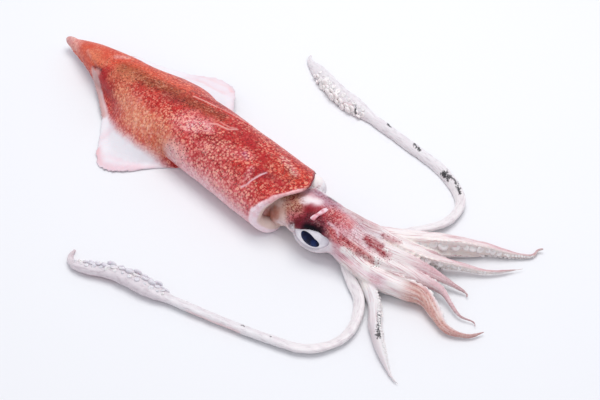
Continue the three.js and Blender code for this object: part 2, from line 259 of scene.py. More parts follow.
def mantleHeights(s):
    roundness = lerp(mantle["tailRoundness"], mantle["height"] / mantle["width"], smooth(s, 0, 0.5))
    height = 2 * mantleHalfWidth(s) * roundness
    lift = mantle["tailLift"] * (1 - smooth(s, 0, mantle["liftEnds"]))
    return lift, height * mantle["bellyShare"], height * (1 - mantle["bellyShare"])


def mantlePoint(x, s, angle, inset):
    lift, below, above = mantleHeights(s)
    sine, cosine = np.sin(angle), np.cos(angle)
    wider, fuller = mantle["flatBelly"]
    belly = -np.minimum(1, wider * np.abs(sine) ** fuller)
    rise = np.where(sine > 0, (above - inset) * sine, (below - inset) * belly)
    aside = (mantleHalfWidth(s) - inset) * np.sign(cosine) * np.abs(cosine) ** mantle["fullSides"]
    return np.stack([x, aside, lift + below + rise], axis=-1)


def mouthReach(angle):
    rim = mantle["rim"]
    turned = np.degrees(angle) % 360 / 360
    # the table runs on past both ends, so that the curve closes
    reach = sizeAlong(rim[-2:] + rim + rim[:3], (turned * len(rim) + 2) / (len(rim) + 4))
    return reach + 0.3 * np.sin(5 * angle + 1) + 0.25 * np.sin(9 * angle)


def mantleBody():
    outside, inside, lipShare = mantle["skinRows"], mantle["wallRows"], mantle["lipShare"]
    rows = outside + inside

    def shape(u, v):
        angle = 2 * np.pi * u
        row = np.rint(v * rows)
        s = np.clip(row / outside, 0, 1) ** mantle["rowCrowding"]
        x = mantle["length"] * s + mouthReach(angle) * smooth(s, mantle["stretchFrom"], 1)
        skin = mantlePoint(x, s, angle, 0)
        # over the rounded rim and down the inner wall
        into = np.clip((row - outside) / inside, 0, 1)
        lip = np.clip(into / lipShare, 0, 1) * np.pi
        wall = lerp(mantle["thinWall"], mantle["wall"], towards(angle, 238, -0.95, 0.25))
        inset = wall * np.where(into < lipShare, 0.42 * (1 - np.cos(lip)), 0.84 + 0.3 * (into - lipShare))
        rim = mantle["length"] + mouthReach(angle) + 0.3 * wall * np.sin(lip)
        depth = smooth(into, 0.28, 1)
        x = lerp(rim, mantle["length"] - mantle["mouthDepth"], depth)
        inner = mantlePoint(x, np.ones_like(x), angle, inset)
        found = np.where((row > outside)[:, None], inner, skin)
        found[row == 0] = (0, 0, mantle["tailLift"] + mantle["tipHeight"])
        found[row == rows] = (mantle["length"] - mantle["mouthDepth"], 0, mantle["height"] / 2)
        return found

    return sheet(mantle["columns"], rows, shape)


def onMantle(places):  # (distance from the tail, degrees round from the left over the top) to points
    places = np.atleast_2d(np.array(places, float))
    s = np.minimum(places[:, 0] / mantle["length"], 1)
    return mantlePoint(places[:, 0], s, np.radians(places[:, 1]), 0)


fin = {
    "right": ((7, 3.6), (20, 6.4), (34, 9.4), (50, 15.5), (67, 25), (80, 37), (91, 47), (99, 51),
              (106, 49.5), (113, 42), (120, 31), (131, 18)),
    "left": ((7, 3.6), (18, 8), (29, 13.2), (40, 18.2), (50, 21.8), (58, 23.6), (66, 26), (76, 32.5),
             (86, 40.2), (94, 44), (101, 44.8), (107, 42.4), (114, 35.6), (122, 27), (131, 17)),
    "lift": {"right": 0, "left": 4.6},
    "tailLift": 4.6,
    "root": 0.5,
    "rootThickness": 4.2,
    "edgeThickness": 1.2,
    "drape": 0.8,
    "ripple": {"right": 0.4, "left": 0.9},
    "waves": (0.2, 0.083),
    "columns": 180,
    "rows": 60,
}


def finBody(side):
    sign = 1 if side == "left" else -1

    def shape(u, v):
        out = 1 - np.abs(2 * v - 1)
        edge = sizeAlong(fin[side], u)
        x = edge[:, 0]
        s = x / mantle["length"]
        lift, below, above = mantleHeights(s)
        root = mantleHalfWidth(s) * fin["root"]
        top = lift + below + above * math.sqrt(1 - fin["root"] ** 2) - 0.5
        y = lerp(root, np.maximum(edge[:, 1], root + 1.2), out)
        raised = fin["lift"][side] * smooth(x, 30, 80)
        rest = 0.1 + raised + fin["tailLift"] * (1 - smooth(x, 42, 88))
        ends = np.minimum(1, np.minimum(0.35 + 4 * u, 0.35 + 9 * (1 - u)))
        closing = np.sqrt(np.clip(np.minimum(u, 1 - u) / 0.03, 0, 1))
        thickness = lerp(fin["rootThickness"], fin["edgeThickness"], out ** 0.7) * ends
        wave = 1 + np.sin(x * fin["waves"][0] + sign) * np.sin(x * fin["waves"][1] + 2 * sign)
        fine = 0.25 * out ** 3 * np.sin(x * 0.9 + 3 * np.sin(x * 0.23))
        under = lerp(top - thickness, rest, smooth(out, 0, fin["drape"]))
        under = under + fin["ripple"][side] * out ** 2 * wave + fine
        half = thickness / 2 * np.sqrt(np.clip(1 - out ** 10, 0, 1)) * closing
        z = under + thickness / 2 * (1 - 0.6 * out ** 10) + np.where(v < 0.5, half, -half)
        z = np.maximum(z, clearance)
        return np.stack([x, sign * y, z], axis=-1)

    return sheet(fin["columns"], fin["rows"], shape)


tipMiddle, tipSizes = mantle["tipBall"]
mantlePiece = pieceFrom("mantle_and_fins", joined([
    mantleBody(), finBody("left"), finBody("right"), ballBody(tipSizes, middle=tipMiddle)]))
melted(mantlePiece, mantle["voxel"], rounds=5)
print("mantle:", len(mantlePiece.data.polygons), "faces")


head = {
    "route": ((174, 1, 12.6), (190, 1, 12.6), (203, 1, 12.6), (214, 1.4, 12.4), (226, 3, 12),
              (238, 5.6, 11.2), (249, 8.6, 9.6), (260, 11.8, 7.6), (270, 15, 6)),
    "halfWidths": (8, 11, 13, 14, 13.4, 13.4, 13.4, 11.5, 7),
    "halfHeights": (7.5, 9.4, 10.2, 10.8, 10.4, 9.6, 8.2, 6.4, 4.4),
    # soft tissue round the neck: its white edge on the left, over the top, and inside the mouth
    "tissue": (((201.5, 13.8, 15), (7.6, 7, 7.4)), ((212.5, 2, 20.6), (6.5, 5.5, 3.2)),
               ((201, -5.5, 10.5), (7, 8.5, 8)), ((195, -12.5, 3.6), (5, 4, 2.6)),
               ((191.5, -9, 9), (5.5, 8, 7.5))),
    "columns": 64,
    "rows": 90,
    "voxel": 0.52,
}
eye = {
    "right": (224.6, -6.6, 12.5),
    "left": (216, 7.4, 11.8),
    "halfSizes": (11, 8.6, 6.4),  # along the head, upwards, outwards
    "yaw": 16,
    "lookUp": 10,
    "socketWall": 1.3,
    "opening": (10.2, 5.5),
    "openingRoll": 10,
    "lidSink": 0.9,  # how far the skin is pressed in under the eyeball's face
    "lidRoll": 0.3,  # the height of the lids' rolled edge
    "pupil": (5.3, 3.5),
    "pupilAt": (0.6, 0.3),
    "pupilNotches": ((1.0, -0.17, 0.45), (2.5, 0.1, 0.6)),  # where, how high, how wide
}
bothSides = ("right", "left")
flap = {"middle": (223, -1.9, 22.6), "length": 11.2, "width": 2.6, "thickness": 1.2, "sag": 3.4}
armShape = {"height": 0.86, "oralFlat": 0.62, "keel": 0.14, "web": 0.16}
wideWebs = {"left2": 0.34, "left3": 0.34, "right4": 0.02}
tentacleShape = {"height": 0.66, "oralFlat": 0.9, "keel": 0, "web": 0}
armTaper = (1, 1, 0.98, 0.95, 0.88, 0.76, 0.6, 0.42, 0.28, 0.18, 0.08)
clubSwell = (0.56, 0.8, 1, 1, 0.92, 0.84, 0.8, 0.66, 0.36, 0.12)
limbSteps = 500  # the steps of a limb's table from root to tip
# the arms in pairs from the back (1) to the belly (4): half width, how long it stays thick, the way the
# suckers face in degrees, and the middle line
arms = {
    "left1": (4.6, 1, 240, ((234, 9, 14), (247, 14, 13.6), (257, 19.6, 11.2), (265, 26, 7.6),
                            (276.5, 41, 2.6), (288, 53, 1.6))),
    "left2": (4.7, 1, 201, ((234, 13, 12.6), (248, 16, 13), (260.6, 18.6, 11.6), (274.1, 26.6, 7.6),
                            (285.5, 36.4, 4.4), (297.3, 46, 2.5), (306.8, 61, 1.4))),
    "left3": (6.5, 1.3, 192, ((235, 12, 8), (245, 17.8, 7.8), (261.5, 31.2, 6.9), (274.7, 44.3, 5.6),
                              (286.2, 54.9, 3.8), (298.3, 64.5, 2.1), (304.2, 71.5, 1.3), (303.9, 76.2, 1.8),
                              (305.6, 78.4, 2.6))),
    "left4": (4.2, 1, 90, ((236, 9, 5.5), (250, 13, 4.6), (261, 17, 4.2), (270, 22, 3.8), (276.5, 31, 2.8),
                           (273, 40, 1.8), (268, 41, 1.4))),
    "right1": (4.6, 1.7, 265, ((234, 5, 14.6), (250, 7.6, 15), (261, 10.4, 13.6), (275.5, 18.2, 9.2),
                               (290.2, 25, 3.9), (298.6, 27.2, 1.6), (300, 25.8, 1.3))),
    "right2": (4.6, 1, 320, ((234, 1, 12.4), (249, 2.6, 13), (261, 5, 12), (277, 12, 8.6), (289.8, 17.4, 5.4),
                             (297.9, 15.6, 3.7), (306, 13.9, 2.3), (312.7, 16.4, 1.4), (315.3, 14.6, 1.3))),
    "right3": (6, 1.4, 345, ((235, -1, 8.4), (249, -2, 7.6), (262, -1.6, 7), (276, 3.4, 6.2),
                             (287.4, 8.2, 5.3), (297.3, 5.5, 4.4), (307.1, 2.7, 3.1), (316.5, 7.7, 1.8),
                             (320.4, 15.6, 1.8))),
    "right4": (4.3, 2.3, 20, ((236, 3, 5), (256, -2.6, 4.2), (271.8, -10.2, 3.8), (282.9, -20.4, 3.3),
                              (296.6, -30, 2.6), (308.3, -36.2, 1.5), (313.4, -37, 1.1))),
}
# the two tentacles: half width of the stalk and of the club, where the club starts, the way the suckers
# face, and the middle line
tentacles = {
    "left": (3, 5.6, 0.69, 62, ((236, 10, 6), (250.5, 34, 4.6), (258.6, 57, 2.5), (253.8, 72.6, 2.2),
                                (234, 82.6, 2.2), (203.6, 85, 2.2), (172.5, 86.1, 2.3), (149, 86.4, 2.8),
                                (127.3, 91.6, 2.6), (111, 96.8, 1.6), (107.7, 100.6, 1.2))),
    "right": (2.9, 5.5, 0.69, 112, ((236, 0, 6), (253, -8.8, 3.4), (266, -15.4, 2.3), (275.6, -30, 2.2),
                                    (276.6, -41, 2.2), (270, -54.2, 2.2), (254, -63, 2.2),
                                    (228.1, -73.2, 2.2), (195.4, -84.6, 2.5), (172, -91.2, 2.7),
                                    (153.6, -101.8, 2.2), (147.8, -103.1, 1.8), (143.6, -101.2, 1.4),
                                    (141.4, -96.8, 1.2))),
}


def limbFrom(name, route, oral, shape, sizeAt):
    dense = routeAt(route, np.linspace(0, 1, 3000))
    run = np.concatenate([[0], np.cumsum(np.linalg.norm(np.diff(dense, axis=0), axis=1))])
    share = np.linspace(0, 1, limbSteps + 1)
    middle = np.stack([np.interp(share * run[-1], run, dense[:, i]) for i in range(3)], axis=1)
    tangent = unit(np.gradient(middle, axis=0))
    left = unit(np.cross((0, 0, 1), tangent))
    over = np.cross(tangent, left)
    turn = math.radians(oral)
    return {
        "name": name, "length": run[-1], "share": share, "middle": middle, "size": sizeAt(share), **shape,
        "oral": left * math.cos(turn) + over * math.sin(turn),
        "across": over * math.cos(turn) - left * math.sin(turn),
    }


def armLimb(name):
    halfWidth, slow, oral, route = arms[name]
    shape = {**armShape, "web": wideWebs.get(name, armShape["web"])}
    return limbFrom(name, route, oral, shape, lambda t: halfWidth * sizeAlong(armTaper, t ** slow))


def tentacleLimb(name):
    stalk, club, clubFrom, oral, route = tentacles[name]

    def sizeAt(t):
        thin = lerp(stalk, club * clubSwell[0], t / clubFrom)
        return np.where(t < clubFrom, thin, club * sizeAlong(clubSwell, (t - clubFrom) / (1 - clubFrom)))

    limb = limbFrom("tentacle_" + name, route, oral, tentacleShape, sizeAt)
    limb["clubFrom"] = clubFrom
    return limb


def between(limb, key, t):  # a row of a limb's table at share t
    rows = limb[key]
    if rows.ndim == 1:
        return np.interp(t, limb["share"], rows)
    return np.stack([np.interp(t, limb["share"], rows[:, i]) for i in range(3)], axis=-1)


def limbPoint(limb, t, angle, grow=1.0):  # angle 0 faces the way of the suckers, 180 degrees is the keel
    size = between(limb, "size", t) * grow
    oral, across = between(limb, "oral", t), between(limb, "across", t)
    depth = size * limb["height"] * np.cos(angle)
    keel = limb["keel"] * size * np.maximum(0, -np.cos(angle)) ** 6
    turn = np.abs((angle + np.pi) % (2 * np.pi) - np.pi)
    scallop = 0.55 + 0.45 * np.sin(t * limb["length"] * 2.1 + 2 * np.sign(np.sin(angle)))
    web = limb["web"] * size * np.exp(-((turn - 1.25) / 0.24) ** 2) * scallop * smooth(t, 0.3, 0.42)
    point = between(limb, "middle", t) + across * ((size + web) * np.sin(angle))[..., None]
    lift = np.where(depth > 0, depth * limb["oralFlat"], depth - keel) + web * 0.7
    point = point + oral * lift[..., None]
    point[..., 2] = np.maximum(point[..., 2], 0)
    return point


def limbBody(limb, sides, rows, uneven, ridges):
    def shape(u, v):
        t = v ** 0.9
        angle = 2 * np.pi * u
        place = between(limb, "middle", t)
        grow = 1 + uneven * noiseAt(place, 7, 3) + uneven * 0.5 * noiseAt(place, 2.5, 5)
        ridge = np.sin(angle * ridges + 2.5 * np.sin(t * 9 + ridges))
        grow = grow + 0.045 * ridge * (1 - smooth(t, 0.45, 0.75))
        found = limbPoint(limb, t, angle, grow)
        ends = (v < 1e-6) | (v > 1 - 1e-6)
        found[ends] = place[ends]
        return found

    return sheet(sides, rows, shape)


def headBody():
    def shape(u, v):
        centre = routeAt(head["route"], v)
        ahead, behind = (routeAt(head["route"], np.clip(v + step, 0, 1)) for step in (0.005, -0.005))
        left = unit(np.cross((0, 0, 1), ahead - behind))
        angle = 2 * np.pi * u
        ends = np.sqrt(np.clip(np.minimum(v, 1 - v) / 0.05, 0, 1))
        wide = sizeAlong(head["halfWidths"], v) * ends
        found = centre + left * (wide * np.cos(angle))[:, None]
        found[:, 2] = np.maximum(0, found[:, 2] + sizeAlong(head["halfHeights"], v) * ends * np.sin(angle))
        return found

    return sheet(head["columns"], head["rows"], shape)


def eyePlace(side):  # the eye's own axes: along the head, over the eye, out of it
    yaw, tilt = math.radians(eye["yaw"]), math.radians(eye["lookUp"])
    forward = Vector((math.cos(yaw), math.sin(yaw), 0))
    aside = Vector((-math.sin(yaw), math.cos(yaw), 0)) * (1 if side == "left" else -1)
    outward = aside * math.cos(tilt) + Vector((0, 0, math.sin(tilt)))
    over = outward.cross(forward)
    turned = Matrix((forward, over, outward)).transposed().to_4x4()
    turned.translation = Vector(eye[side])
    return turned


def intoEye(points, side):
    place = np.array(eyePlace(side))
    return (points - place[:3, 3]) @ place[:3, :3]


def outOfEye(local, side):
    place = np.array(eyePlace(side))
    return local @ place[:3, :3].T + place[:3, 3]


def openLids(points, side):  # presses the skin in over the eyeball, inside the lids
    local = intoEye(points, side)
    roll = math.radians(eye["openingRoll"]) * (1 if side == "right" else -1)
    a = local[:, 0] * math.cos(roll) + local[:, 1] * math.sin(roll)
    b = local[:, 1] * math.cos(roll) - local[:, 0] * math.sin(roll)
    wide, tall = eye["opening"]
    # an almond: the corners are drawn out a little
    reach = np.sqrt((np.abs(a) / wide) ** 1.8 + (np.abs(b) / tall) ** 2.1)
    halfA, halfB, halfC = eye["halfSizes"]
    ball = halfC * np.sqrt(np.clip(1 - (local[:, 0] / halfA) ** 2 - (local[:, 1] / halfB) ** 2, 0, 1))
    inside = (local[:, 2] > 0) & (local[:, 2] < 12)
    sunk = np.minimum(local[:, 2], ball - eye["lidSink"])
    level = lerp(sunk, local[:, 2], smooth(reach, 0.96, 1.06))
    rolled = eye["lidRoll"] * np.exp(-((reach - 1.12) / 0.08) ** 2)
    local[:, 2] = np.where(inside, level + rolled * smooth(ball, 0.2, 1.5), local[:, 2])
    return outOfEye(local, side)


def pupilBody(side):  # a bean with a notch over its middle, lying on the eyeball
    halfA, halfB, halfC = eye["halfSizes"]
    wide, tall = eye["pupil"]

    def shape(u, v):
        angle = 2 * np.pi * u
        r = np.sin(np.pi * v)
        front = v < 0.5
        notch = 1
        for turned, height, width in eye["pupilNotches"]:
            off = (angle - turned + np.pi) % (2 * np.pi) - np.pi
            notch = notch + height * np.exp(-(off / width) ** 2)
        a = eye["pupilAt"][0] + wide * r * notch * np.cos(angle)
        b = eye["pupilAt"][1] + tall * r * notch * np.sin(angle) - 0.2 * a
        c = halfC * np.sqrt(np.clip(1 - (a / halfA) ** 2 - (b / halfB) ** 2, 0, 1))
        c = c + np.where(front, 0.1 + 0.35 * np.sqrt(np.clip(1 - r * r, 0, 1)), -0.4)
        return outOfEye(np.stack([a, b, c], axis=-1), side)

    return sheet(columns=48, rows=28, shape=shape)


limbs = [armLimb(name) for name in arms]
feelers = [tentacleLimb(name) for name in tentacles]

socketSizes = [half + eye["socketWall"] for half in eye["halfSizes"]]
bodies = [headBody()] + [ballBody(halfSizes, middle=middle) for middle, halfSizes in head["tissue"]]
bodies += [ballBody(socketSizes, eyePlace(side)) for side in bothSides]
bodies += [limbBody(limb, sides=56, rows=220, uneven=0.05, ridges=6 + i % 3) for i, limb in enumerate(limbs)]
headPiece = pieceFrom("head_and_arms", joined(bodies))
melted(headPiece, head["voxel"], rounds=4)
print("head and arms:", len(headPiece.data.polygons), "faces")

tentaclePiece = pieceFrom("tentacles", joined([
    limbBody(limb, sides=36, rows=620, uneven=0.1, ridges=3) for limb in feelers]))
print("tentacles:", len(tentaclePiece.data.polygons), "faces")


sucker = {
    "sides": 9,
    # (radius, height) from the middle of the base round the lip into the hollow
    "profile": ((0, -0.6), (0.72, -0.6), (1, 0), (0.84, 0.4), (0.52, 0.46), (0.26, 0.24), (0, 0.18)),
    "armSize": 0.44,
    "armSpread": 0.6,
    "armStep": 1.9,  # spacing over a sucker's radius
    "armRange": (0.28, 0.92),
    "leastRadius": 0.45,  # for the spacing
    "clubSizes": (0.26, 0.46, 0.46, 0.26),  # four rows over the club's half width
    "clubTurns": (-1.1, -0.42, 0.42, 1.1),
    "clubTurn": {"tentacle_left": -1.0, "tentacle_right": 0.7},
    "clubEnd": {"tentacle_left": 0.9, "tentacle_right": 0.945},
    "clubStep": 1.8,
    "clubMargin": 0.02,
    "leastClub": 1.8,
    "uneven": 0.55,
    "tilt": 0.7,
    "astray": 0.3,  # over a sucker's radius
    "smallArm": {"right4": 0.5},
}


def suckerShape():  # a soft cup of radius 1 that faces up
    bm = bmesh.new()
    outline = [bm.verts.new((radius, 0, height)) for radius, height in sucker["profile"]]
    edges = [bm.edges.new(pair) for pair in zip(outline, outline[1:])]
    bmesh.ops.spin(bm, geom=outline + edges, cent=(0, 0, 0), axis=(0, 0, 1), dvec=(0, 0, 0),
                   angle=2 * math.pi, steps=sucker["sides"], use_merge=True)
    bmesh.ops.remove_doubles(bm, verts=bm.verts, dist=0.001)
    bmesh.ops.recalc_face_normals(bm, faces=bm.faces)
    mesh = bpy.data.meshes.new("sucker")
    bm.to_mesh(mesh)
    bm.free()
    return mesh


suckerMesh = suckerShape()


def suckerBody(limb, t, angle, radius):
    seat = limbPoint(limb, np.array([t]), np.array([angle]))[0]
    away = unit(seat - between(limb, "middle", np.array([t]))[0])
    odd = noise.noise_vector(Vector(seat) * 3.1)
    away = unit(away + sucker["tilt"] * np.array(odd))
    seat = seat + radius * sucker["astray"] * np.array(noise.noise_vector(Vector(seat) * 1.7))
    sizes = (radius, radius * (1 + 0.5 * odd[0]), radius * (0.6 + 0.4 * odd[1]))
    bm = bmesh.new()
    bm.from_mesh(suckerMesh)
    bmesh.ops.scale(bm, vec=sizes, verts=bm.verts)
    turned = Vector((0, 0, 1)).rotation_difference(Vector(away)).to_matrix().to_4x4()
    bmesh.ops.transform(bm, matrix=Matrix.Translation(seat) @ turned, verts=bm.verts)
    lowest = min(v.co.z for v in bm.verts)
    if lowest < clearance:
        bmesh.ops.translate(bm, vec=(0, 0, clearance - lowest), verts=bm.verts)
    return bm


def suckersOf(limb):
    found = []
    name = limb["name"]
    club = "clubFrom" in limb
    t, end = sucker["armRange"]
    if club:
        t, end = limb["clubFrom"] + sucker["clubMargin"], sucker["clubEnd"][name]
    while t < end:
        size = between(limb, "size", np.array([t]))[0]
        jitter = 1 + sucker["uneven"] * noise.noise(Vector((t * 90, len(found) * 0.7, 3.1)))
        if club:
            for row, share in enumerate(sucker["clubSizes"]):
                turn = sucker["clubTurn"][name] + sucker["clubTurns"][row]
                shifted = t + (row % 2) * 0.5 * sucker["clubStep"] * share * size / limb["length"]
                found.append(suckerBody(limb, shifted, turn, share * size * jitter))
            step = sucker["clubStep"] * sucker["clubSizes"][1] * max(size, sucker["leastClub"])
            t += step / limb["length"]
        else:
            radius = sucker["armSize"] * size * sucker["smallArm"].get(name, 1) * jitter
            for side in (-1, 1):
                shifted = t + side * 0.5 * radius / limb["length"]
                found.append(suckerBody(limb, shifted, side * sucker["armSpread"], radius))
            t += sucker["armStep"] * max(radius, sucker["leastRadius"]) / limb["length"]
    return found


cups = [cup for limb in limbs + feelers for cup in suckersOf(limb)]
print("suckers:", len(cups))
suckerPiece = pieceFrom("suckers", joined(cups))

eyeballs = {side: pieceFrom("eyeball_white_" + side,
                            ballBody(eye["halfSizes"], eyePlace(side), columns=72, rows=48))
            for side in bothSides}
pupils = {side: pieceFrom("pupil_" + side, pupilBody(side)) for side in bothSides}


def flapBody():  # a torn strip of skin across the head, its ends bent down
    def shape(u, v):
        share = u - 0.5
        angle = 2 * np.pi * v
        ends = np.sqrt(np.clip(np.minimum(u, 1 - u) / 0.04, 0, 1))
        wide = flap["width"] / 2 * (1 + 0.16 * np.sin(9 * u + 1)) * ends
        x = wide * np.sign(np.cos(angle)) * np.abs(np.cos(angle)) ** 0.6
        z = flap["thickness"] / 2 * np.sin(angle) * ends
        y = flap["length"] * share
        z = z - flap["sag"] * share ** 2 + 0.25 * np.sin(8 * u)
        return np.stack([x, y, z], axis=-1) + np.array(flap["middle"])

    return sheet(columns=60, rows=20, shape=shape)


flapPiece = pieceFrom("torn_strip", flapBody())


def lumpy(piece, amounts):  # moves the skin in and out along its normals, in lumps
    points, normals = pointsOf(piece), normalsOf(piece)
    for seed, (size, height) in enumerate(amounts):
        points = points + normals * (height * noiseAt(points, size, seed))[:, None]
    points[:, 2] = np.maximum(points[:, 2], 0)
    setPoints(piece, points)


# height in mm, radius, softness, and where on the mantle
mantleRelief = [
    (-0.5, 1.2, 0.8, [(40, 140), (44, 145), (49, 150)]),
    (0.6, 1.4, 0.8, [(30, 122), (37, 128), (44, 132)]),
    (0.35, 0.7, 0.8, [(137, 93), (140, 88), (147, 85), (150, 75)]),
    (-0.2, 0.6, 0.8, [(182, 137), (184, 116), (185, 101)]),
    (0.25, 0.7, 0.8, [(113, 70), (125, 63), (139, 50), (149, 42)]),
    (-0.3, 0.7, 0.8, [(113, 74), (125, 68), (139, 55), (149, 47)]),
    (0.4, 2.6, 0.8, [(134, 159)]),
]
# the pale rolled fold that runs down from the tail's notch along the near fin's root
rolledFold = [(46.5, -11, 13), (45.5, -12.6, 8.5), (49, -14.6, 6.5), (54, -17.6, 5.5), (61, -21.2, 4.5),
              (68, -24.4, 4)]


def asGiven(places):
    return places


def relieve(piece, relief, onto=asGiven):
    points, normals = pointsOf(piece), normalsOf(piece)
    height = np.zeros(len(points))
    for tall, radius, soft, places in relief:
        height += tall * nearLine(points, onto(places), radius, soft)
    setPoints(piece, points + normals * height[:, None])


lumpy(mantlePiece, ((16, mantle["lumps"]), (5, 0.1)))
relieve(mantlePiece, mantleRelief, onMantle)
relieve(mantlePiece, [(0.7, 1.7, 0.7, rolledFold)])

headRelief = [
    (-0.9, 2.0, 0.8, [(220, -10.5, 20), (226, -10.5, 20), (230, -9, 20)]),
    (0.5, 1.6, 0.8, [(216, 0, 22.5), (217, 4, 22)]),
    (-0.6, 1.2, 0.8, [(205, 9, 20), (212, 8, 22)]),
]
lumpy(headPiece, ((9, 0.3), (3, 0.14)))
relieve(headPiece, headRelief)
headPoints = pointsOf(headPiece)
for side in bothSides:
    headPoints = openLids(headPoints, side)
setPoints(headPiece, headPoints)
lumpy(tentaclePiece, ((6, 0.16), (2, 0.07)))
print("relief done")


# Colours are laid on the points: tint is the skin's colour, with painted light and shade in places, and
# marks hold how much there is of pale dots, dark specks and strands.
palette = {
    "red": "cc3c34",
    "deepRed": "ac0c1a",
    "darkRed": "7a0a16",
    "burnt": "bf5a34",
    "orange": "d85c3e",
    "paleOrange": "e4946c",
    "peach": "e69a74",
    "olive": "8c4620",
    "rose": "eca6a4",
    "lilac": "efd0d8",
    "violet": "8e5c96",
    "salmon": "f2c4ba",
    "greyPink": "dab4b0",
    "foldPink": "c99c98",
    "fin": "eae6ea",
    "finPink": "e6c9d1",
    "finGrey": "d3c6cc",
    "rimPink": "fae6ed",
    "flesh": "eddce0",
    "cream": "ebd2c8",
    "creamBrown": "a65f46",
    "oliveSkin": "be8b75",
    "maroon": "641028",
    "black": "08040e",
    "crown": "d6a6ae",
    "wine": "a41a34",
    "rosy": "cc7480",
    "armBack": "dcbabe",
    "armTip": "b08a8a",
    "armWhite": "f6efec",
    "armCloud": "faf3ea",
    "dullOrange": "d4a496",
    "brownLine": "6a3c2c",
    "coral": "da827e",
    # painted shade deep in the mouth
    "hollowShade": "8c4636",
    "neckSpeck": "8c2c20",
    "cupGrey": "dedbe1",
    "glass": "e7e5e6",
    "ink": "14121a",
    "mauve": "a98494",
}


def paint(tint, points, stray, strokes, onto=asGiven):
    for name, strength, radius, soft, places in strokes:
        tint = blendTo(tint, palette[name], strength * nearLine(points, onto(places), radius, soft, stray))
    return tint


# places on the mantle are a distance from the tail and degrees round from the left over the top
finBase = [(84, 162), (102, 166), (118, 168)]
oliveBand = [(50, 118), (66, 100), (90, 88), (112, 82), (136, 76)]
# colour, strength, radius in mm, softness, and the line it runs along
mantlePaint = [
    ("orange", 0.8, 13, 0.5, [(14, 90), (60, 75), (98, 66)]),
    ("orange", 0.6, 7, 0.6, [(20, 150), (36, 150)]),
    ("paleOrange", 0.45, 3.2, 0.8, [(33, 112), (38, 116)]),
    ("paleOrange", 0.4, 3.2, 0.8, [(41, 122), (46, 130), (48, 118)]),
    ("peach", 0.85, 8, 0.8, [(92, 162), (106, 168), (120, 172)]),
    ("peach", 0.7, 6.5, 0.8, [(76, 138), (86, 150), (100, 148), (116, 138)]),
    ("paleOrange", 0.6, 7, 0.6, [(68, 132), (80, 140)]),
    ("orange", 0.5, 5, 0.7, [(86, 178), (96, -176), (112, 176)]),
    ("burnt", 0.6, 3.2, 0.7, [(122, -178), (128, 176), (134, 174)]),
    ("deepRed", 0.9, 6, 0.5, [(50, 165), (56, 146), (62, 152), (60, 168)]),
    ("deepRed", 0.55, 3, 0.7, [(66, 178), (76, -176), (82, 178)]),
    ("deepRed", 0.6, 4.5, 0.7, [(60, 126), (78, 112), (96, 100)]),
    ("red", 0.6, 8, 0.6, [(86, 112), (104, 104), (122, 96)]),
    ("olive", 0.85, 4.4, 0.9, [(62, 100), (90, 88), (104, 83)]),
    ("olive", 0.85, 4, 0.9, [(112, 82), (122, 80), (136, 74)]),
    ("deepRed", 0.22, 12, 0.9, [(112, 76), (150, 72), (198, 78)]),
    ("maroon", 0.35, 3.2, 0.7, [(100, 96), (110, 92)]),
    ("orange", 0.9, 2.8, 0.6, [(62, 66), (91, 60), (104, 60)]),
    ("rose", 0.7, 7, 0.7, [(124, 112), (134, 106), (142, 114)]),
    ("lilac", 0.45, 4, 0.8, [(130, 108), (138, 102)]),
    ("deepRed", 0.9, 4.6, 0.7, [(140, 114), (146, 106), (152, 96)]),
    ("deepRed", 0.85, 4.4, 0.7, [(148, 74), (158, 74), (166, 80)]),
    ("deepRed", 0.75, 4.5, 0.7, [(176, 84), (186, 88)]),
    ("deepRed", 0.45, 5, 0.7, [(150, 144), (168, 134), (186, 116)]),
    ("deepRed", 0.95, 4.8, 0.7, [(184, 106), (190, 101), (196, 97)]),
    ("darkRed", 0.5, 2.0, 0.8, [(186, 104), (191, 100)]),
    ("rose", 0.55, 8, 0.7, [(160, 160), (184, 160)]),
    ("orange", 0.5, 6, 0.7, [(188, 82), (200, 78)]),
    ("cream", 0.7, 2.0, 0.9, [(183, 64), (189, 70), (196, 77)]),
    ("olive", 0.5, 1.6, 0.9, [(190, 76), (198, 83)]),
    ("salmon", 0.85, 4.6, 0.8, [(128, 159), (136, 160)]),
    ("greyPink", 0.35, 5, 0.8, [(150, 125), (160, 110)]),
    ("salmon", 0.3, 0.8, 0.9, [(28, 119), (31, 126), (35, 132)]),
    ("salmon", 0.5, 2.0, 0.7, [(50, 84), (54, 68)]),
    ("salmon", 0.6, 4.6, 0.9, [(6, 110), (14, 140)]),
    ("greyPink", 0.9, 4.5, 0.9, [(0, 90), (4, 110)]),
    ("paleOrange", 0.5, 5, 0.8, [(62, 118), (70, 108)]),
    ("maroon", 0.75, 0.9, 0.8, [(41, 152), (44, 145), (49, 138)]),
    ("salmon", 0.7, 0.48, 0.8, [(137, 93), (140, 88), (147, 85), (150, 75)]),
    ("salmon", 0.45, 0.42, 0.8, [(140, 82), (146, 80), (149, 74)]),
    ("lilac", 0.8, 0.45, 0.8, [(181, 138), (182.8, 130), (183.2, 122), (184, 114), (184.6, 107),
                               (186, 100)]),
    ("lilac", 0.35, 2, 0.9, [(178, 110), (180, 122)]),
    ("salmon", 0.7, 0.55, 0.8, [(112, 70), (125, 63), (139, 50), (149, 41)]),
    ("darkRed", 0.7, 0.7, 0.6, [(106, 60), (120, 55), (134, 43), (144, 37)]),
    ("rose", 0.6, 3, 0.9, [(165, 99), (170, 96)]),
    ("violet", 0.45, 1.3, 0.9, [(167, 97), (170, 99)]),
]
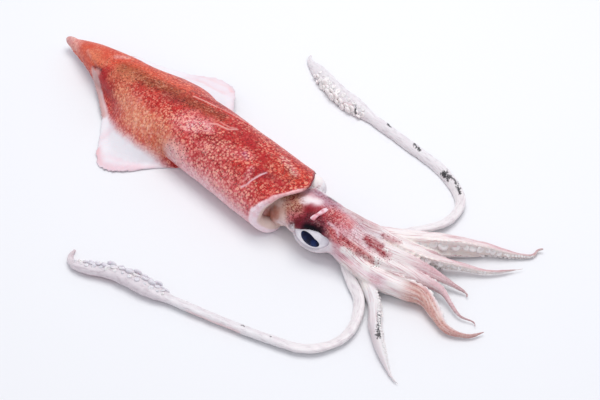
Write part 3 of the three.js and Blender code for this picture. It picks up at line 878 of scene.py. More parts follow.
# lines of pink, rose, lilac and grey on both fins: partly their own pink tinge, partly painted shade along
# their folds and edges
finPaint = [
    ("finPink", 0.35, 3.2, 0.8, [(80, 29, 8), (88, 33, 8), (98, 37, 8), (108, 38, 8)]),
    ("rose", 0.4, 1.4, 0.8, [(84, 37, 8), (92, 39, 8), (101, 42, 7), (106, 40, 7)]),
    ("rose", 0.22, 1.6, 0.8, [(86, 31, 8), (98, 33, 8), (104, 35, 8)]),
    ("finPink", 0.4, 1.6, 0.8, [(78, 33, 7), (88, 41, 7), (99, 44, 6)]),
    ("finGrey", 0.45, 1.2, 0.8, [(99, 44, 6), (107, 42, 6), (114, 35, 7), (122, 27, 8)]),
    ("finPink", 0.9, 2.6, 0.8, [(88, -44, 2), (96, -49, 2), (106, -47, 2), (116, -36, 2)]),
    ("rose", 0.35, 1.2, 0.8, [(88, -43, 2), (93, -47, 2), (99, -49, 2)]),
    ("lilac", 0.35, 1.3, 0.8, [(98, -42, 2), (110, -38, 2), (120, -30, 2)]),
]
# how far out the pigment reaches on the near side, by distance from the tail
pigmentEdge = ((0, 2.4), (12, 4.3), (34, 8.4), (42, 10.5), (50, 12.8), (56, 15.4), (62, 18.6), (69, 21.8),
               (78, 25.6), (88, 28.4), (96, 29.6), (106, 29.6), (112, 27.8), (119, 24.8), (127, 22.6),
               (136, 24))


def finReach(x, y):  # how far out the fin's edge is beside a point
    right, left = (np.interp(x, *zip(*fin[side])) for side in bothSides)
    return np.where(y < 0, right, left)


def finColours(tint, points, stray):  # pigment runs out over the fins, which are clear and pale past it
    x, y, _ = points.T
    near = y < 0
    half = np.maximum(mantleHalfWidth(np.clip(x / mantle["length"], 0, 1)), 0.5)
    reach = np.abs(y) + 0.14 * stray[:, 1] + 0.1 * stray[:, 0]
    edge = np.where(near, np.interp(x, *zip(*pigmentEdge)), half + 0.4)
    width = np.where(near, lerp(0.5, 2.8, smooth(x, 50, 90)), 0.8)
    finned = smooth(reach - edge, -width, width) * (1 - smooth(x, 131, 137)) * smooth(x, 38, 45)
    tint = blendTo(tint, palette["fin"], finned)
    # painted shade: the far fin is tinted a little darker and pinker than the near one
    tint = blendTo(tint, palette["finPink"], finned * 0.1 * (y > 0) * smooth(x, 66, 84))
    # painted shade: the pink noise stands in for the shading of the fins' folds, and the fins turn pinker
    # towards their rims
    foldShading = smooth(noiseAt(points * (1, 0.35, 1), 8, 7), 0, 0.5) * smooth(x, 56, 76)
    finRimShading = smooth(np.abs(y) - finReach(x, y), -6, -0.5) * smooth(x, 72, 92)
    pinkShading = np.maximum(foldShading * 0.5, 0.9 * finRimShading * (0.35 + 0.65 * foldShading))
    tint = blendTo(tint, palette["finPink"], finned * pinkShading)
    tint = paint(tint, points, stray, finPaint)
    rolled = nearLine(points, rolledFold, 2.7, 0.6, 0.5 * stray)
    tailFold = finned * (1 - smooth(x, 50, 60)) * 0.95 * near
    return blendTo(tint, palette["foldPink"], np.maximum(rolled * 0.9, tailFold)), finned, rolled


def mouthColours(tint, points):  # the rim and the inside of the mouth
    x, y, z = points.T
    middle = mantle["height"] * mantle["bellyShare"]
    up = z - middle
    angle = np.arctan2(up, y / 1.45)
    depth = mantle["length"] + mouthReach(angle) - x
    radius = np.hypot(y / (mantle["width"] / 2), up / np.where(up > 0, mantle["height"] - middle, middle))
    atMouth = smooth(x, 180, 190)
    inner = (1 - smooth(radius, 0.87, 0.94)) * smooth(x, 168, 178)
    lower = towards(angle, 232, -0.45, 0.35)
    farSide = towards(angle, 50, 0.72, 0.9)
    wavy = depth + 0.8 * noiseAt(points, 4, 6)
    rim = (1 - smooth(wavy, 0.3 + 0.8 * lower, 1.2 + 1.6 * lower)) * atMouth
    tint = blendTo(tint, palette["rimPink"], rim * 0.95 * (1 - farSide))
    tint = blendTo(tint, palette["rose"], rim * 0.6 * towards(angle, 108, 0.84, 0.97))
    border = wavy - 1 - 1.2 * lower
    blush = smooth(border, -0.6, 0) * (1 - smooth(border, 0.2, 1.2)) * atMouth
    tint = blendTo(tint, palette["rosy"], 0.25 * blush)
    tint = blendTo(tint, palette["maroon"], rim * 0.8 * farSide)
    tint = blendTo(tint, palette["cream"], inner)
    # painted shade: the inside turns browner, in blotches, deeper into the mouth
    deepShade = smooth(depth + 3 * noiseAt(points, 4, 5), 3, 8)
    deepShade = deepShade * smooth(noiseAt(points * (1, 1, 0.4), 2.5, 6), -0.4, 0.3)
    return blendTo(tint, palette["creamBrown"], inner * deepShade * 0.9), inner, rim


def mantleMarks(points, stray, tint, pigment):  # how much there is of dots, specks and strands
    def near(line, radius, soft):
        return nearLine(points, onMantle(line), radius, soft, stray)

    x = points[:, 0]
    smoothPart = np.maximum(near(finBase, 10, 0.7), 0.8 * near([(3, 90), (36, 100)], 9, 0.5))
    smoothPart = np.maximum(smoothPart, 0.6 * near([(50, 76), (96, 62)], 4, 0.6))
    thinLines = [line for _, _, radius, _, line in mantlePaint if radius < 0.9]
    marked = np.max([near(line, 0.7, 0.8) for line in thinLines], axis=0)
    whitePatch = near([(127, 159), (136, 160)], 4.6, 0.7)
    band = near(oliveBand, 8, 0.6)
    pigment = pigment * (1 - marked) * (1 - 0.6 * whitePatch)
    dots = pigment * lerp(0.6, 1, smooth(x, 50, 110)) * (1 - 0.5 * smoothPart) * (1 - 0.48 * band)
    dots = dots * lerp(0.25, 1, smooth(tint[:, 1], 0.006, 0.04))
    specks = pigment * (0.75 + 0.25 * band) * (1 - 0.5 * smoothPart) * lerp(0.6, 1, smooth(x, 40, 80))
    specks = specks + 0.6 * whitePatch
    return np.stack([dots, specks, 0.4 * near(finBase, 11, 0.6) * pigment], axis=-1)


def paintMantle():
    points, normals = pointsOf(mantlePiece), normalsOf(mantlePiece)
    stray = 2.2 * noiseVectors(points, 7, 1) + 0.8 * noiseVectors(points, 2.2, 2)
    x, y, z = points.T
    tint = np.tile(colour(palette["red"]), (len(points), 1))
    tint = paint(tint, points, stray, mantlePaint, onMantle)
    # the flanks fade to a pale belly
    lift, below, _ = mantleHeights(np.clip(x / mantle["length"], 0, 1))
    height = z - lift + 0.5 * stray[:, 2]
    front = smooth(x, 126, 142)
    tint = blendTo(tint, palette["rose"], 0.95 * front * (1 - smooth(height, below * 1.15, below * 2.5)))
    belly = front * (1 - smooth(height, below * 0.7, below * 1.95))
    belly = np.maximum(belly, smooth(-normals[:, 2], 0.1, 0.5))
    tint = blendTo(tint, palette["lilac"], belly * 0.9)
    tint, finned, rolled = finColours(tint, points, stray)
    tint, inner, rim = mouthColours(tint, points)
    pigment = (1 - finned) * (1 - np.maximum(inner, rim * 0.8)) * (1 - 0.7 * belly) * (1 - rolled * 0.8)
    attribute(mantlePiece, "tint", tint)
    attribute(mantlePiece, "marks", mantleMarks(points, stray, tint, pigment))
    flowAttribute(mantlePiece, np.stack([x - 0.35 * np.abs(y), y, z], axis=-1))


whiteTissue = [(200, 17, 16), (204, 14, 19)]
browShadowLine = [(222.5, -10.8, 19.2), (226.5, -9.8, 20.1), (229.5, -9, 19.8)]
headPaint = [
    ("armWhite", 0.95, 7.5, 0.4, whiteTissue),
    ("cream", 0.9, 8, 0.6, [(200, -8, 18), (206, -8, 16), (208, -12, 10)]),
    # down by the mantle's near wall the first brown stroke and the hollowShade stroke are brown tissue
    # darkened with painted shade in the mouth's deep corner
    ("creamBrown", 0.85, 4.5, 0.9, [(192, -12, 8), (197, -12, 9), (201, -11, 12)]),
    ("creamBrown", 0.6, 2.4, 0.9, [(201, -10, 15), (205, -8.6, 17.6), (208, -9, 18)]),
    ("hollowShade", 0.8, 2.4, 0.9, [(194, -11, 6), (198, -11.5, 9), (201, -11, 12.5)]),
    ("oliveSkin", 0.95, 5.2, 0.7, [(203, -3, 22.5), (209, -5.4, 21.6), (214, -9, 19), (215, -11, 15)]),
    ("flesh", 0.8, 3.2, 0.7, [(207, -14, 10), (211, -14, 12), (213, -13, 8)]),
    ("crown", 0.9, 5, 0.7, [(212, 9, 21), (226, 12, 19), (240, 15, 18)]),
    ("finGrey", 0.75, 4.2, 0.8, [(229, 12, 20), (238, 12, 19), (250, 11.5, 17)]),
    ("rosy", 0.5, 4.5, 0.8, [(226, 2, 22), (235, 2, 21)]),
    ("rosy", 0.25, 4.5, 0.8, [(240, 2, 20), (253, 3, 17)]),
    ("mauve", 0.8, 4.2, 0.8, [(210, 9, 21), (216, 9, 21.6), (222, 9, 21.4)]),
    ("flesh", 0.95, 2.5, 0.8, [(211, -1, 23.6), (214.5, 1.4, 24), (217, 2.6, 23.6)]),
    ("armWhite", 0.4, 1.6, 0.9, [(212, 0, 24), (215.5, 2, 24)]),
    ("rosy", 0.7, 3.6, 0.8, [(212, -11, 17), (216, -9, 20)]),
    ("wine", 0.6, 2.8, 0.9, [(215, -10, 19), (218, -7, 21.4), (219, -4, 22.4)]),
    ("wine", 1, 3, 0.8, [(217, -3.6, 22.4), (220, -2.4, 22.8), (223, -4, 22.6)]),
    ("wine", 1, 3.8, 0.7, [(223, -1, 22), (230, 1, 22)]),
    ("coral", 0.55, 3, 0.9, [(228, 4, 22), (233, 6, 21), (237, 6, 20.5)]),
    ("wine", 0.7, 2.4, 0.8, [(229, -4, 21), (233, -4.5, 19.5)]),
    ("darkRed", 0.75, 2.4, 0.9, [(217, -4, 22.4), (220, -3.4, 22.8), (223, -4.6, 22.4)]),
    ("maroon", 0.8, 2.6, 0.8, [(220, -6.4, 22), (223, -5.4, 22.4), (228, -5, 22)]),
    ("maroon", 0.9, 3.2, 0.9, [(218, -10.6, 18.6), (224, -10, 20), (228, -8, 20.5)]),
    ("maroon", 0.9, 1.6, 0.7, [(213, -13, 13), (214, -13, 16), (217, -12, 18)]),
    ("black", 0.85, 1.2, 0.9, [(216.5, 11.6, 20.4), (220, 12.4, 20)]),
    ("coral", 0.8, 2.3, 0.7, [(234, -4.5, 19.4), (238, -4.5, 18.3), (244, -3, 17.2), (250, -1, 15.8),
                              (257, 0.5, 14.2)]),
    ("wine", 0.2, 1.1, 0.9, [(236, -3.5, 19.3), (244, -2, 17.8), (251, 0, 16)]),
    ("brownLine", 0.6, 1, 0.9, [(250, -1.5, 15), (256, 0, 14), (261, 1.5, 13)]),
    ("brownLine", 0.35, 0.8, 0.9, [(267, 2, 12), (274, 4, 12), (282, 7, 11)]),
    ("finPink", 0.7, 0.8, 0.8, [(230, -2, 21.3), (233, -1.6, 20.8), (236, -2.2, 20), (238, -3.4, 18.9)]),
    ("finPink", 0.6, 1.6, 0.9, [(242, 4, 20), (247, 3.4, 18.6), (253, 3, 17)]),
    ("wine", 0.95, 1.6, 0.9, [(249, 5.8, 18.8), (253, 5.2, 18), (257, 6.2, 16.8), (261, 6.4, 15.8)]),
    ("wine", 0.8, 1.3, 0.9, [(251, 7.6, 18.8), (257, 8.4, 17.8)]),
    ("deepRed", 0.5, 0.9, 0.9, [(253, 6.4, 18), (260.5, 6, 15.8)]),
    ("wine", 0.6, 1.3, 0.9, [(252, 15, 17), (256, 16, 16), (260, 18, 16)]),
    ("finPink", 0.85, 3.4, 0.7, [(240, -7, 12), (250, -7, 10.5), (260, -7, 10), (268, -4, 10)]),
    ("rosy", 0.45, 2.4, 0.9, [(237, -7.4, 14), (240, -6.6, 14.8), (244, -7, 12.6), (249, -7.6, 11)]),
    ("rosy", 0.35, 1.8, 0.9, [(251, -7, 10), (255, -7.4, 10)]),
    ("rosy", 0.35, 1.6, 0.9, [(263, -5.6, 10), (267, -4.4, 10)]),
    ("armWhite", 0.9, 1.7, 0.7, [(244, -5.6, 14.8), (249, -5, 14), (254, -4, 13.2), (260, -3.4, 12)]),
    ("oliveSkin", 0.3, 4, 0.8, [(228, 14, 18), (244, 15, 18)]),
    # painted light: a pale stroke low on the near side of the arms' roots, which lie in shade
    ("armCloud", 0.8, 3, 0.8, [(247, -10, 8), (254, -10, 7.6), (262, -9.4, 7.6)]),
    ("ink", 0.5, 0.8, 0.9, [(271, 22, 10), (273, 21, 11)]),
]
# where the head is densely speckled: how much, radius, and line
speckledSkin = [
    (1, 4.6, [(204, -4, 22), (210, -7, 21), (215, -10, 18), (216, -11, 15)]),
    (1, 5, [(214, -7, 21), (226, -5, 22)]),
    (0.95, 6, [(223, 1, 22), (234, 3, 21)]),
    (0.6, 5.5, [(240, 3, 20), (252, 3, 17.5)]),
    (1, 3, [(234, -4.5, 19.4), (244, -3, 17.2), (250, -1, 15.8), (260, 1.5, 13.5)]),
    (1, 2.8, [(248.5, 6, 18.8), (257, 7, 17.2), (262, 6.4, 15.6)]),
    (0.7, 2, [(252, 15, 17), (260, 18, 16)]),
    (0.9, 4.6, [(209, 10, 20), (219, 9, 21.6), (226, 8, 22)]),
    (0.35, 4.5, [(226, 12, 20), (240, 12, 19)]),
]
# painted shadow over the right eye: black in the crease above the lid, with maroon skin round it
browShadowPaint = [
    ("maroon", 0.9, 2.4, 0.9, [(221, -8, 21.2), (226, -7, 21.2)]),
    ("maroon", 0.85, 3, 0.9, [(219, -11, 18.5), (227, -9.6, 20), (232, -7.6, 19.6)]),
    ("black", 1.0, 2.3, 0.8, browShadowLine),
]
inkSpots = {  # dark pigment in a scatter of specks: radius and line
    "arms": ((1.6, [(281, -16.4, 6), (286, -22, 6), (290, -26.4, 6)]),),
    "tentacles": (
        (2.4, [(234, 81.5, 4), (236.5, 80, 4)]),
        (1.0, [(237, 82, 4), (242, 81, 4), (246, 79, 4), (250, 76, 4)]),
        (1.1, [(207, 86, 4), (212, 85, 4)]), (0.8, [(185, 88, 4), (188, 87, 5)]),
        (0.9, [(160, 86, 5), (163, 84, 4), (165, 82, 3)]), (0.7, [(239, -68, 4), (242, -68, 3)]),
        (0.6, [(254, -63, 4)])),
}


headAxis = (4, 11)  # y and z of the line that the head's strands run along
headRadius = 12
limbsApart = 9.0  # keeps the strands of one limb unlike those of the next
tentacleRun = 340  # how far the strands' pattern runs along a tentacle


def inkOn(points, kind):
    spots = np.max([nearLine(points, line, radius, 0.9) for radius, line in inkSpots[kind]], axis=0)
    return smooth(1.1 * spots + 0.9 * noiseAt(points, 0.9, 12), 0.55, 0.85) * smooth(spots, 0, 0.2)


# for each point: its limb, the share along it, how much it faces the way of the suckers and across it, and
# its distance from the middle line over the limb's size
def limbShares(points, many):
    best = np.full(len(points), 1e9)
    found = np.zeros((4, len(points)))
    for number, limb in enumerate(many):
        tree = kdtree.KDTree(len(limb["share"]))
        for i, middle in enumerate(limb["middle"]):
            tree.insert(middle, i)
        tree.balance()
        nearest = np.array([tree.find(p)[1] for p in points])
        away = points - limb["middle"][nearest]
        ratio = np.linalg.norm(away, axis=1) / np.maximum(limb["size"][nearest], 0.3)
        facing, side = (np.sum(unit(away) * limb[key][nearest], axis=1) for key in ("oral", "across"))
        here = np.stack([np.full(len(points), number), limb["share"][nearest], facing, side])
        found = np.where(ratio < best, here, found)
        best = np.minimum(best, ratio)
    index, along, facing, side = found
    return index.astype(int), along, facing, side, best


def onArms(index, *names):  # which points belong to these arms
    return np.isin(index, [list(arms).index(name) for name in names])


def armColours(points, index, along, facing, around):  # whitish near the head, pink backs and brownish tips
    back = smooth(-facing, -0.45, 0.35)
    cloudy, clear = onArms(index, "left2", "left3"), onArms(index, "right4")
    tint = np.tile(colour(palette["armWhite"]), (len(points), 1))
    milky = lerp(0.6, 1, smooth(noiseAt(points, 4, 8), -0.1, 0.4))
    tint = blendTo(tint, palette["armCloud"], cloudy * (1 - back) * milky)
    tint = blendTo(tint, palette["armTip"], cloudy * smooth(along, 0.4, 0.85) * 0.35)
    tint = blendTo(tint, palette["armBack"], back * lerp(0.1, 1, smooth(along, 0.4, 0.66)))
    dull = onArms(index, "right3") * smooth(along, 0.42, 0.52)
    tint = blendTo(tint, palette["dullOrange"], smooth(-facing, -0.1, 0.3) * dull * 0.9)
    tint = blendTo(tint, palette["glass"], clear * 0.7)
    tint = blendTo(tint, palette["armTip"], smooth(along, 0.7, 1) * lerp(0.4, 0.75, back) * ~clear)
    streaks = np.stack([along * 3.2, around * 1.5 + index * 5.1, index * 3.7], axis=-1)
    streaks = noiseAt(streaks, 0.33, 4)
    rosy = smooth(streaks, 0, 0.7) * 0.2 * back * ~clear * smooth(along, 0.1, 0.4)
    tint = blendTo(tint, palette["rosy"], rosy)
    return blendTo(tint, palette["armWhite"], smooth(-streaks, 0, 0.6) * 0.5 * ~clear)


def lidColours(tint, points):  # a pale lid round each eye, with painted shadow along its upper edge
    lids = np.zeros(len(points))
    wide, tall = eye["opening"]
    for side in bothSides:
        local = intoEye(points, side)
        lid = (1 - smooth(np.hypot(local[:, 0] / wide, local[:, 1] / tall), 1.1, 1.5)) * (local[:, 2] > 0)
        lids = np.maximum(lids, lid)
        upperShadow = smooth(local[:, 1] + 0.5 * noiseAt(points, 3, 7), 2, 4.5)
        tint = blendTo(tint, palette["fin"], lid * 0.8 * (1 - upperShadow))
        # painted shadow along the upper lid
        tint = blendTo(tint, palette["maroon"], lid * 0.75 * upperShadow)
    return tint, lids


def grainColours(tint, points, x):  # coarse grains on the neck and over the eye, stains on the soft tissue
    grit = smooth(noiseAt(points, 0.75, 16), 0.02, 0.3)
    neck = nearLine(points, [(203, -3, 22.5), (210, -6.6, 21), (215, -10, 18.4)], 5, 0.5)
    tint = blendTo(tint, palette["neckSpeck"], 0.8 * grit * neck)
    brow = nearLine(points, [(212, -10.6, 18.4), (218, -9.4, 20), (222, -6, 22), (229, -4.6, 21.2)], 4.8, 0.6)
    tint = blendTo(tint, palette["black"], 0.6 * grit * brow)
    soft = (1 - smooth(x, 207, 213)) * (1 - smooth(points[:, 1], 2, 7))
    return blendTo(tint, palette["creamBrown"], 0.4 * soft * smooth(noiseAt(points, 2.4, 15), 0.02, 0.4))


def headMarks(points, stray, tint, along, facing, clear, under, lids):  # dots, specks and strands
    x = points[:, 0] + stray[:, 0]
    tissue = nearLine(points, whiteTissue, 8, 0.3) + nearLine(points, [(200, -8, 10)], 12, 0.3)
    speckled = np.max([share * nearLine(points, line, radius, 0.6, stray)
                       for share, radius, line in speckledSkin], axis=0)
    dark = nearLine(points, browShadowLine, 2.6, 0.8)
    bare = nearLine(points, [(210, -1.6, 23.4), (214.5, 1.4, 24), (217, 2.6, 23.6)], 2.8, 0.6)
    speckled = speckled * (1 - lids * 0.7) * (1 - dark) * (1 - bare) * (1 - np.clip(tissue, 0, 1) * (x < 203))
    redness = 1 - tint[:, 1] / tint[:, 0]
    pastHead = smooth(x, 246, 252) * (1 - smooth(along, 0.8, 1)) * ~clear
    freckled = 0.4 * smooth(-facing, -0.45, 0.35) * pastHead * smooth(redness, 0.12, 0.45)
    maroonPart = nearLine(points, [(216, -5, 22), (225, -5, 22)], 6, 0.6)
    dots = 0.75 * speckled * smooth(redness, 0.3, 0.75) * (1 - 0.7 * maroonPart) * smooth(x, 216, 222)
    strands = smooth(x, 230, 246) * (1 - smooth(along, 0.55, 0.8)) * (1 - 0.5 * under) * (1 - lids)
    strands = strands * lerp(1, 0.6, smooth(along, 0.12, 0.3))
    return np.stack([dots, np.maximum(speckled, freckled), strands], axis=-1)


def paintHead():
    points = pointsOf(headPiece)
    stray = 1.3 * noiseVectors(points, 4.5, 1) + 0.7 * noiseVectors(points, 1.6, 2)
    stray = stray + 0.5 * noiseVectors(points, 0.8, 3)
    x = points[:, 0] + stray[:, 0]
    index, along, facing, side, ratio = limbShares(points, limbs)
    around = np.arctan2(side, facing)
    clear = onArms(index, "right4")
    under = 1 - smooth(points[:, 2], 6, 12)
    onCrown = smooth(x, 238, 252)
    tint = np.tile(colour(palette["crown"]), (len(points), 1))
    tint = tint + (armColours(points, index, along, facing, around) - tint) * onCrown[:, None]
    tint = blendTo(tint, palette["flesh"], under * (1 - onCrown) * 0.9)
    tint = paint(tint, points, stray, headPaint)
    threads = np.stack([along * 2, around * 7 + index * 5.1, index * 3.7], axis=-1)
    threads = smooth(noiseAt(threads, 0.5, 14), 0.1, 0.5) * (1 - smooth(along, 0.3, 0.6))
    tint = blendTo(tint, palette["armWhite"], threads * smooth(x, 242, 256) * 0.5 * ~clear)
    tint, lids = lidColours(tint, points)
    # the painted shadow over the eye
    tint = paint(tint, points, 0.6 * stray, browShadowPaint)
    tint = blendTo(tint, palette["ink"], 0.9 * inkOn(points, "arms"))
    tint = grainColours(tint, points, x)
    attribute(headPiece, "tint", tint)
    attribute(headPiece, "marks", headMarks(points, stray, tint, along, facing, clear, under, lids))
    # the strands run round and along each limb, and along the head
    sizes = np.array([limbs[i]["size"][round(a * limbSteps)] for i, a in zip(index, along)])
    lengths = np.array([limb["length"] for limb in limbs])[index]
    onLimb = (points[:, 0] > 240) | (ratio < 1.1)
    turned = np.arctan2(points[:, 2] - headAxis[1], points[:, 1] - headAxis[0])
    turn = np.where(onLimb, around * sizes, turned * headRadius)
    run = np.where(onLimb, along * lengths, points[:, 0] - 230)
    flowAttribute(headPiece, np.stack([turn, run, index * limbsApart * onLimb], axis=-1))


tentaclePaint = [
    ("rose", 0.4, 1.4, 0.8, [(214, -82, 2), (222, -79, 2), (230, -76, 2), (240, -72, 2)]),
    ("rosy", 0.3, 1.3, 0.8, [(150, -104, 2), (158, -102, 1), (172, -94, 1)]),
    ("rose", 0.35, 1.3, 0.8, [(148, 82, 2), (155, 82, 3), (160, 84, 4)]),
]


def paintTentacles():
    points = pointsOf(tentaclePiece)
    stray = 0.8 * noiseVectors(points, 2.5, 4)
    index, along, facing, side, _ = limbShares(points, feelers)
    tint = np.tile(colour(palette["glass"]), (len(points), 1))
    clubbed = smooth(along, 0.66, 0.74)
    tint = blendTo(tint, palette["finPink"], clubbed * 0.45 * smooth(-facing, -0.3, 0.6))
    tint = blendTo(tint, palette["finGrey"], clubbed * lerp(0.1, 0.5, index))
    tint = blendTo(tint, palette["armWhite"], (1 - smooth(along, 0.3, 0.5)) * 0.5)
    tint = blendTo(tint, palette["armTip"], smooth(along, 0.93, 1) * 0.4 * (index == 1))
    veins = smooth(noiseAt(points * (0.4, 1, 1), 2.6, 9), 0.15, 0.6)
    tint = blendTo(tint, palette["finGrey"], 0.15 + veins * 0.3)
    tint = paint(tint, points, stray, tentaclePaint)
    tint = blendTo(tint, palette["ink"], 0.95 * inkOn(points, "tentacles"))
    attribute(tentaclePiece, "tint", tint)
    attribute(tentaclePiece, "marks", np.tile((0, 0, 0.4), (len(points), 1)))  # strands alone
    turn = np.arctan2(side, facing) * 3
    flowAttribute(tentaclePiece, np.stack([turn, along * tentacleRun, index * limbsApart], axis=-1))


def paintPlain(piece, name, toName, mask):
    points = pointsOf(piece)
    tint = np.tile(colour(palette[name]), (len(points), 1))
    attribute(piece, "tint", blendTo(tint, palette[toName], mask(points)))
    attribute(piece, "marks", np.zeros((len(points), 3)))
    flowAttribute(piece, points)


def greyCups(points):  # the near club's cups are the greyest
    return lerp(0.2, 1, smooth(-points[:, 1], 62, 72)) * smooth(noiseAt(points, 5, 2), -0.8, 0)


def rosyStrip(points):
    return 0.8 * smooth(noiseAt(points, 2.5, 2), -0.3, 0.4)


paintMantle()
print("mantle coloured")
paintHead()
paintTentacles()
paintPlain(suckerPiece, "armWhite", "cupGrey", greyCups)
paintPlain(flapPiece, "lilac", "rosy", rosyStrip)
print("colours done")


def node(tree, kind, inputs=None, **settings):
    made = tree.nodes.new("ShaderNode" + kind)
    for name, value in settings.items():
        setattr(made, name, value)
    for name, value in (inputs or {}).items():
        if isinstance(value, bpy.types.NodeSocket):
            tree.links.new(value, made.inputs[name])
        else:
            made.inputs[name].default_value = value
    return made


def mixed(tree, share, first, second, mode="MIX"):
    return node(tree, "Mix", {0: share, 6: first, 7: second}, data_type="RGBA", blend_type=mode).outputs[2]


def between01(tree, value, low, high):  # rises smoothly from 0 at low to 1 at high
    return node(tree, "MapRange", {"Value": value, "From Min": low, "From Max": high},
                interpolation_type="SMOOTHSTEP").outputs[0]


def maths(tree, operation, first, second=0.0):
    return node(tree, "Math", {0: first, 1: second}, operation=operation).outputs[0]


def times(tree, first, second):
    return maths(tree, "MULTIPLY", first, second)


def ranged(tree, value, low, high):  # 0 to 1 spread from low to high
    return node(tree, "MapRange", {"Value": value, "To Min": low, "To Max": high}).outputs[0]


def cells(tree, place, scale, randomness):
    return node(tree, "TexVoronoi", {"Vector": place, "Scale": scale, "Randomness": randomness}).outputs


def clouds(tree, place, scale, detail, roughness=0.5):
    return node(tree, "TexNoise", {"Vector": place, "Scale": scale, "Detail": detail,
                                   "Roughness": roughness}).outputs[0]


def groupWith(name, sockets):  # an empty node group with its inputs and outputs
    group = bpy.data.node_groups.new(name, "ShaderNodeTree")
    for label, kind, way in sockets:
        group.interface.new_socket(label, in_out=way, socket_type="NodeSocket" + kind)
    return group, group.nodes.new("NodeGroupInput").outputs, group.nodes.new("NodeGroupOutput").inputs


# what the skin's colour is multiplied by in deeper and lighter patches and between the dots
shades = {"deep": (0.72, 0.26, 0.32, 1), "light": (1.14, 1.36, 1.3, 1), "gap": (0.8, 0.32, 0.36, 1)}
whiteStrand = (0.9, 0.82, 0.84, 1)


def chromatophoreGroup():  # pale dots and rings on a mottled net, with dark specks
    group, given, result = groupWith("chromatophores", (
        ("Skin", "Color", "INPUT"), ("Dot Colour", "Color", "INPUT"), ("Speck Colour", "Color", "INPUT"),
        ("Dots", "Float", "INPUT"), ("Specks", "Float", "INPUT"), ("Dot Scale", "Float", "INPUT"),
        ("Speck Scale", "Float", "INPUT"), ("Color", "Color", "OUTPUT"), ("Height", "Float", "OUTPUT")))
    place = node(group, "TexCoord").outputs["Object"]
    drift = node(group, "TexNoise", {"Vector": place, "Scale": 300.0, "Detail": 2.0}).outputs["Color"]
    drift = node(group, "VectorMath", {0: drift, 1: (0.5, 0.5, 0.5)}, operation="SUBTRACT").outputs[0]
    drift = node(group, "VectorMath", {0: drift, "Scale": 0.0014}, operation="SCALE").outputs[0]
    place = node(group, "VectorMath", {0: place, 1: drift}, operation="ADD").outputs[0]
    # the net between the dots: deeper and lighter patches
    mottle = clouds(group, place, 330.0, 5.0, 0.72)
    patch = mixed(group, between01(group, mottle, 0.36, 0.64), shades["deep"], shades["light"])
    net = mixed(group, 1.0, given["Skin"], patch, "MULTIPLY")
    covered = maths(group, "MAXIMUM", given["Dots"], times(group, given["Specks"], 0.6))
    net = mixed(group, covered, given["Skin"], net)
    pale = mixed(group, 0.57, given["Skin"], given["Dot Colour"])
    # dots of uneven size, close together, with a deeper line between them
    dotCells = cells(group, place, given["Dot Scale"], 0.8)
    odd = node(group, "SeparateColor", {"Color": dotCells["Color"]}).outputs
    gaps = times(group, between01(group, dotCells["Distance"], 0.36, 0.62), given["Dots"])
    net = mixed(group, gaps, net, mixed(group, 1.0, net, shades["gap"], "MULTIPLY"))
    reach = maths(group, "SUBTRACT", ranged(group, odd[0], 0.3, 0.48), dotCells["Distance"])
    crowd = maths(group, "ADD", between01(group, clouds(group, place, 70.0, 2.0), 0.36, 0.6), 0.45)
    strength = maths(group, "MINIMUM", times(group, ranged(group, odd[1], 0.42, 1.0), crowd), 1.0)
    dot = times(group, times(group, between01(group, reach, -0.08, 0.1), strength), given["Dots"])
    # smaller ones between them
    grain = between01(group, cells(group, place, 1300.0, 0.9)["Distance"], 0.42, 0.2)
    grain = times(group, times(group, grain, 0.5), given["Dots"])
    shade = mixed(group, maths(group, "MAXIMUM", dot, grain), net, pale)
    # here and there a wide pale ring with a red middle
    wide = cells(group, place, 175.0, 1.0)["Distance"]
    ring = maths(group, "SUBTRACT", between01(group, wide, 0.2, 0.15), between01(group, wide, 0.09, 0.06))
    shade = mixed(group, times(group, ring, given["Dots"]), shade, pale)
    # dark specks, in some of the cells
    speckCells = cells(group, place, given["Speck Scale"], 1.0)
    some = node(group, "SeparateColor", {"Color": speckCells["Color"]}).outputs[0]
    speck = times(group, between01(group, speckCells["Distance"], 0.42, 0.24), given["Specks"])
    speck = times(group, times(group, speck, 0.85), between01(group, some, 0.25, 0.4))
    shade = mixed(group, speck, shade, given["Speck Colour"])
    group.links.new(shade, result["Color"])
    group.links.new(maths(group, "ADD", times(group, dot, 0.6), mottle), result["Height"])
    return group


def strandGroup():  # fine pale and dark lines that run with the flesh
    group, given, result = groupWith("strands", (
        ("Skin", "Color", "INPUT"), ("Dark Colour", "Color", "INPUT"), ("Amount", "Float", "INPUT"),
        ("Across", "Float", "INPUT"), ("Along", "Float", "INPUT"), ("Color", "Color", "OUTPUT"),
        ("Height", "Float", "OUTPUT")))
    flow = node(group, "Attribute", attribute_name="flow").outputs["Vector"]
    parts = node(group, "SeparateXYZ", {0: flow}).outputs
    stretched = node(group, "CombineXYZ", {0: times(group, parts[0], given["Across"]),
                                           1: times(group, parts[1], given["Along"]),
                                           2: parts[2]}).outputs[0]
    lines = clouds(group, stretched, 1.0, 3.0, 0.6)
    pale = times(group, between01(group, lines, 0.5, 0.66), given["Amount"])
    deep = times(group, between01(group, lines, 0.49, 0.34), given["Amount"])
    broad = between01(group, clouds(group, stretched, 0.35, 1.0), 0.48, 0.7)
    broad = times(group, times(group, broad, given["Amount"]), 0.45)
    whitish = mixed(group, 0.65, given["Skin"], whiteStrand)
    shade = mixed(group, pale, given["Skin"], whitish)
    dark = mixed(group, 1.0, shade, given["Dark Colour"], "MULTIPLY")
    shade = mixed(group, deep, shade, dark)
    group.links.new(mixed(group, broad, shade, whitish), result["Color"])
    group.links.new(times(group, lines, given["Amount"]), result["Height"])
    return group


chromatophores = chromatophoreGroup()
strands = strandGroup()


def emptyMaterial(name):
    material = bpy.data.materials.new(name)
    material.use_nodes = True
    material.node_tree.nodes.clear()
    return material, material.node_tree


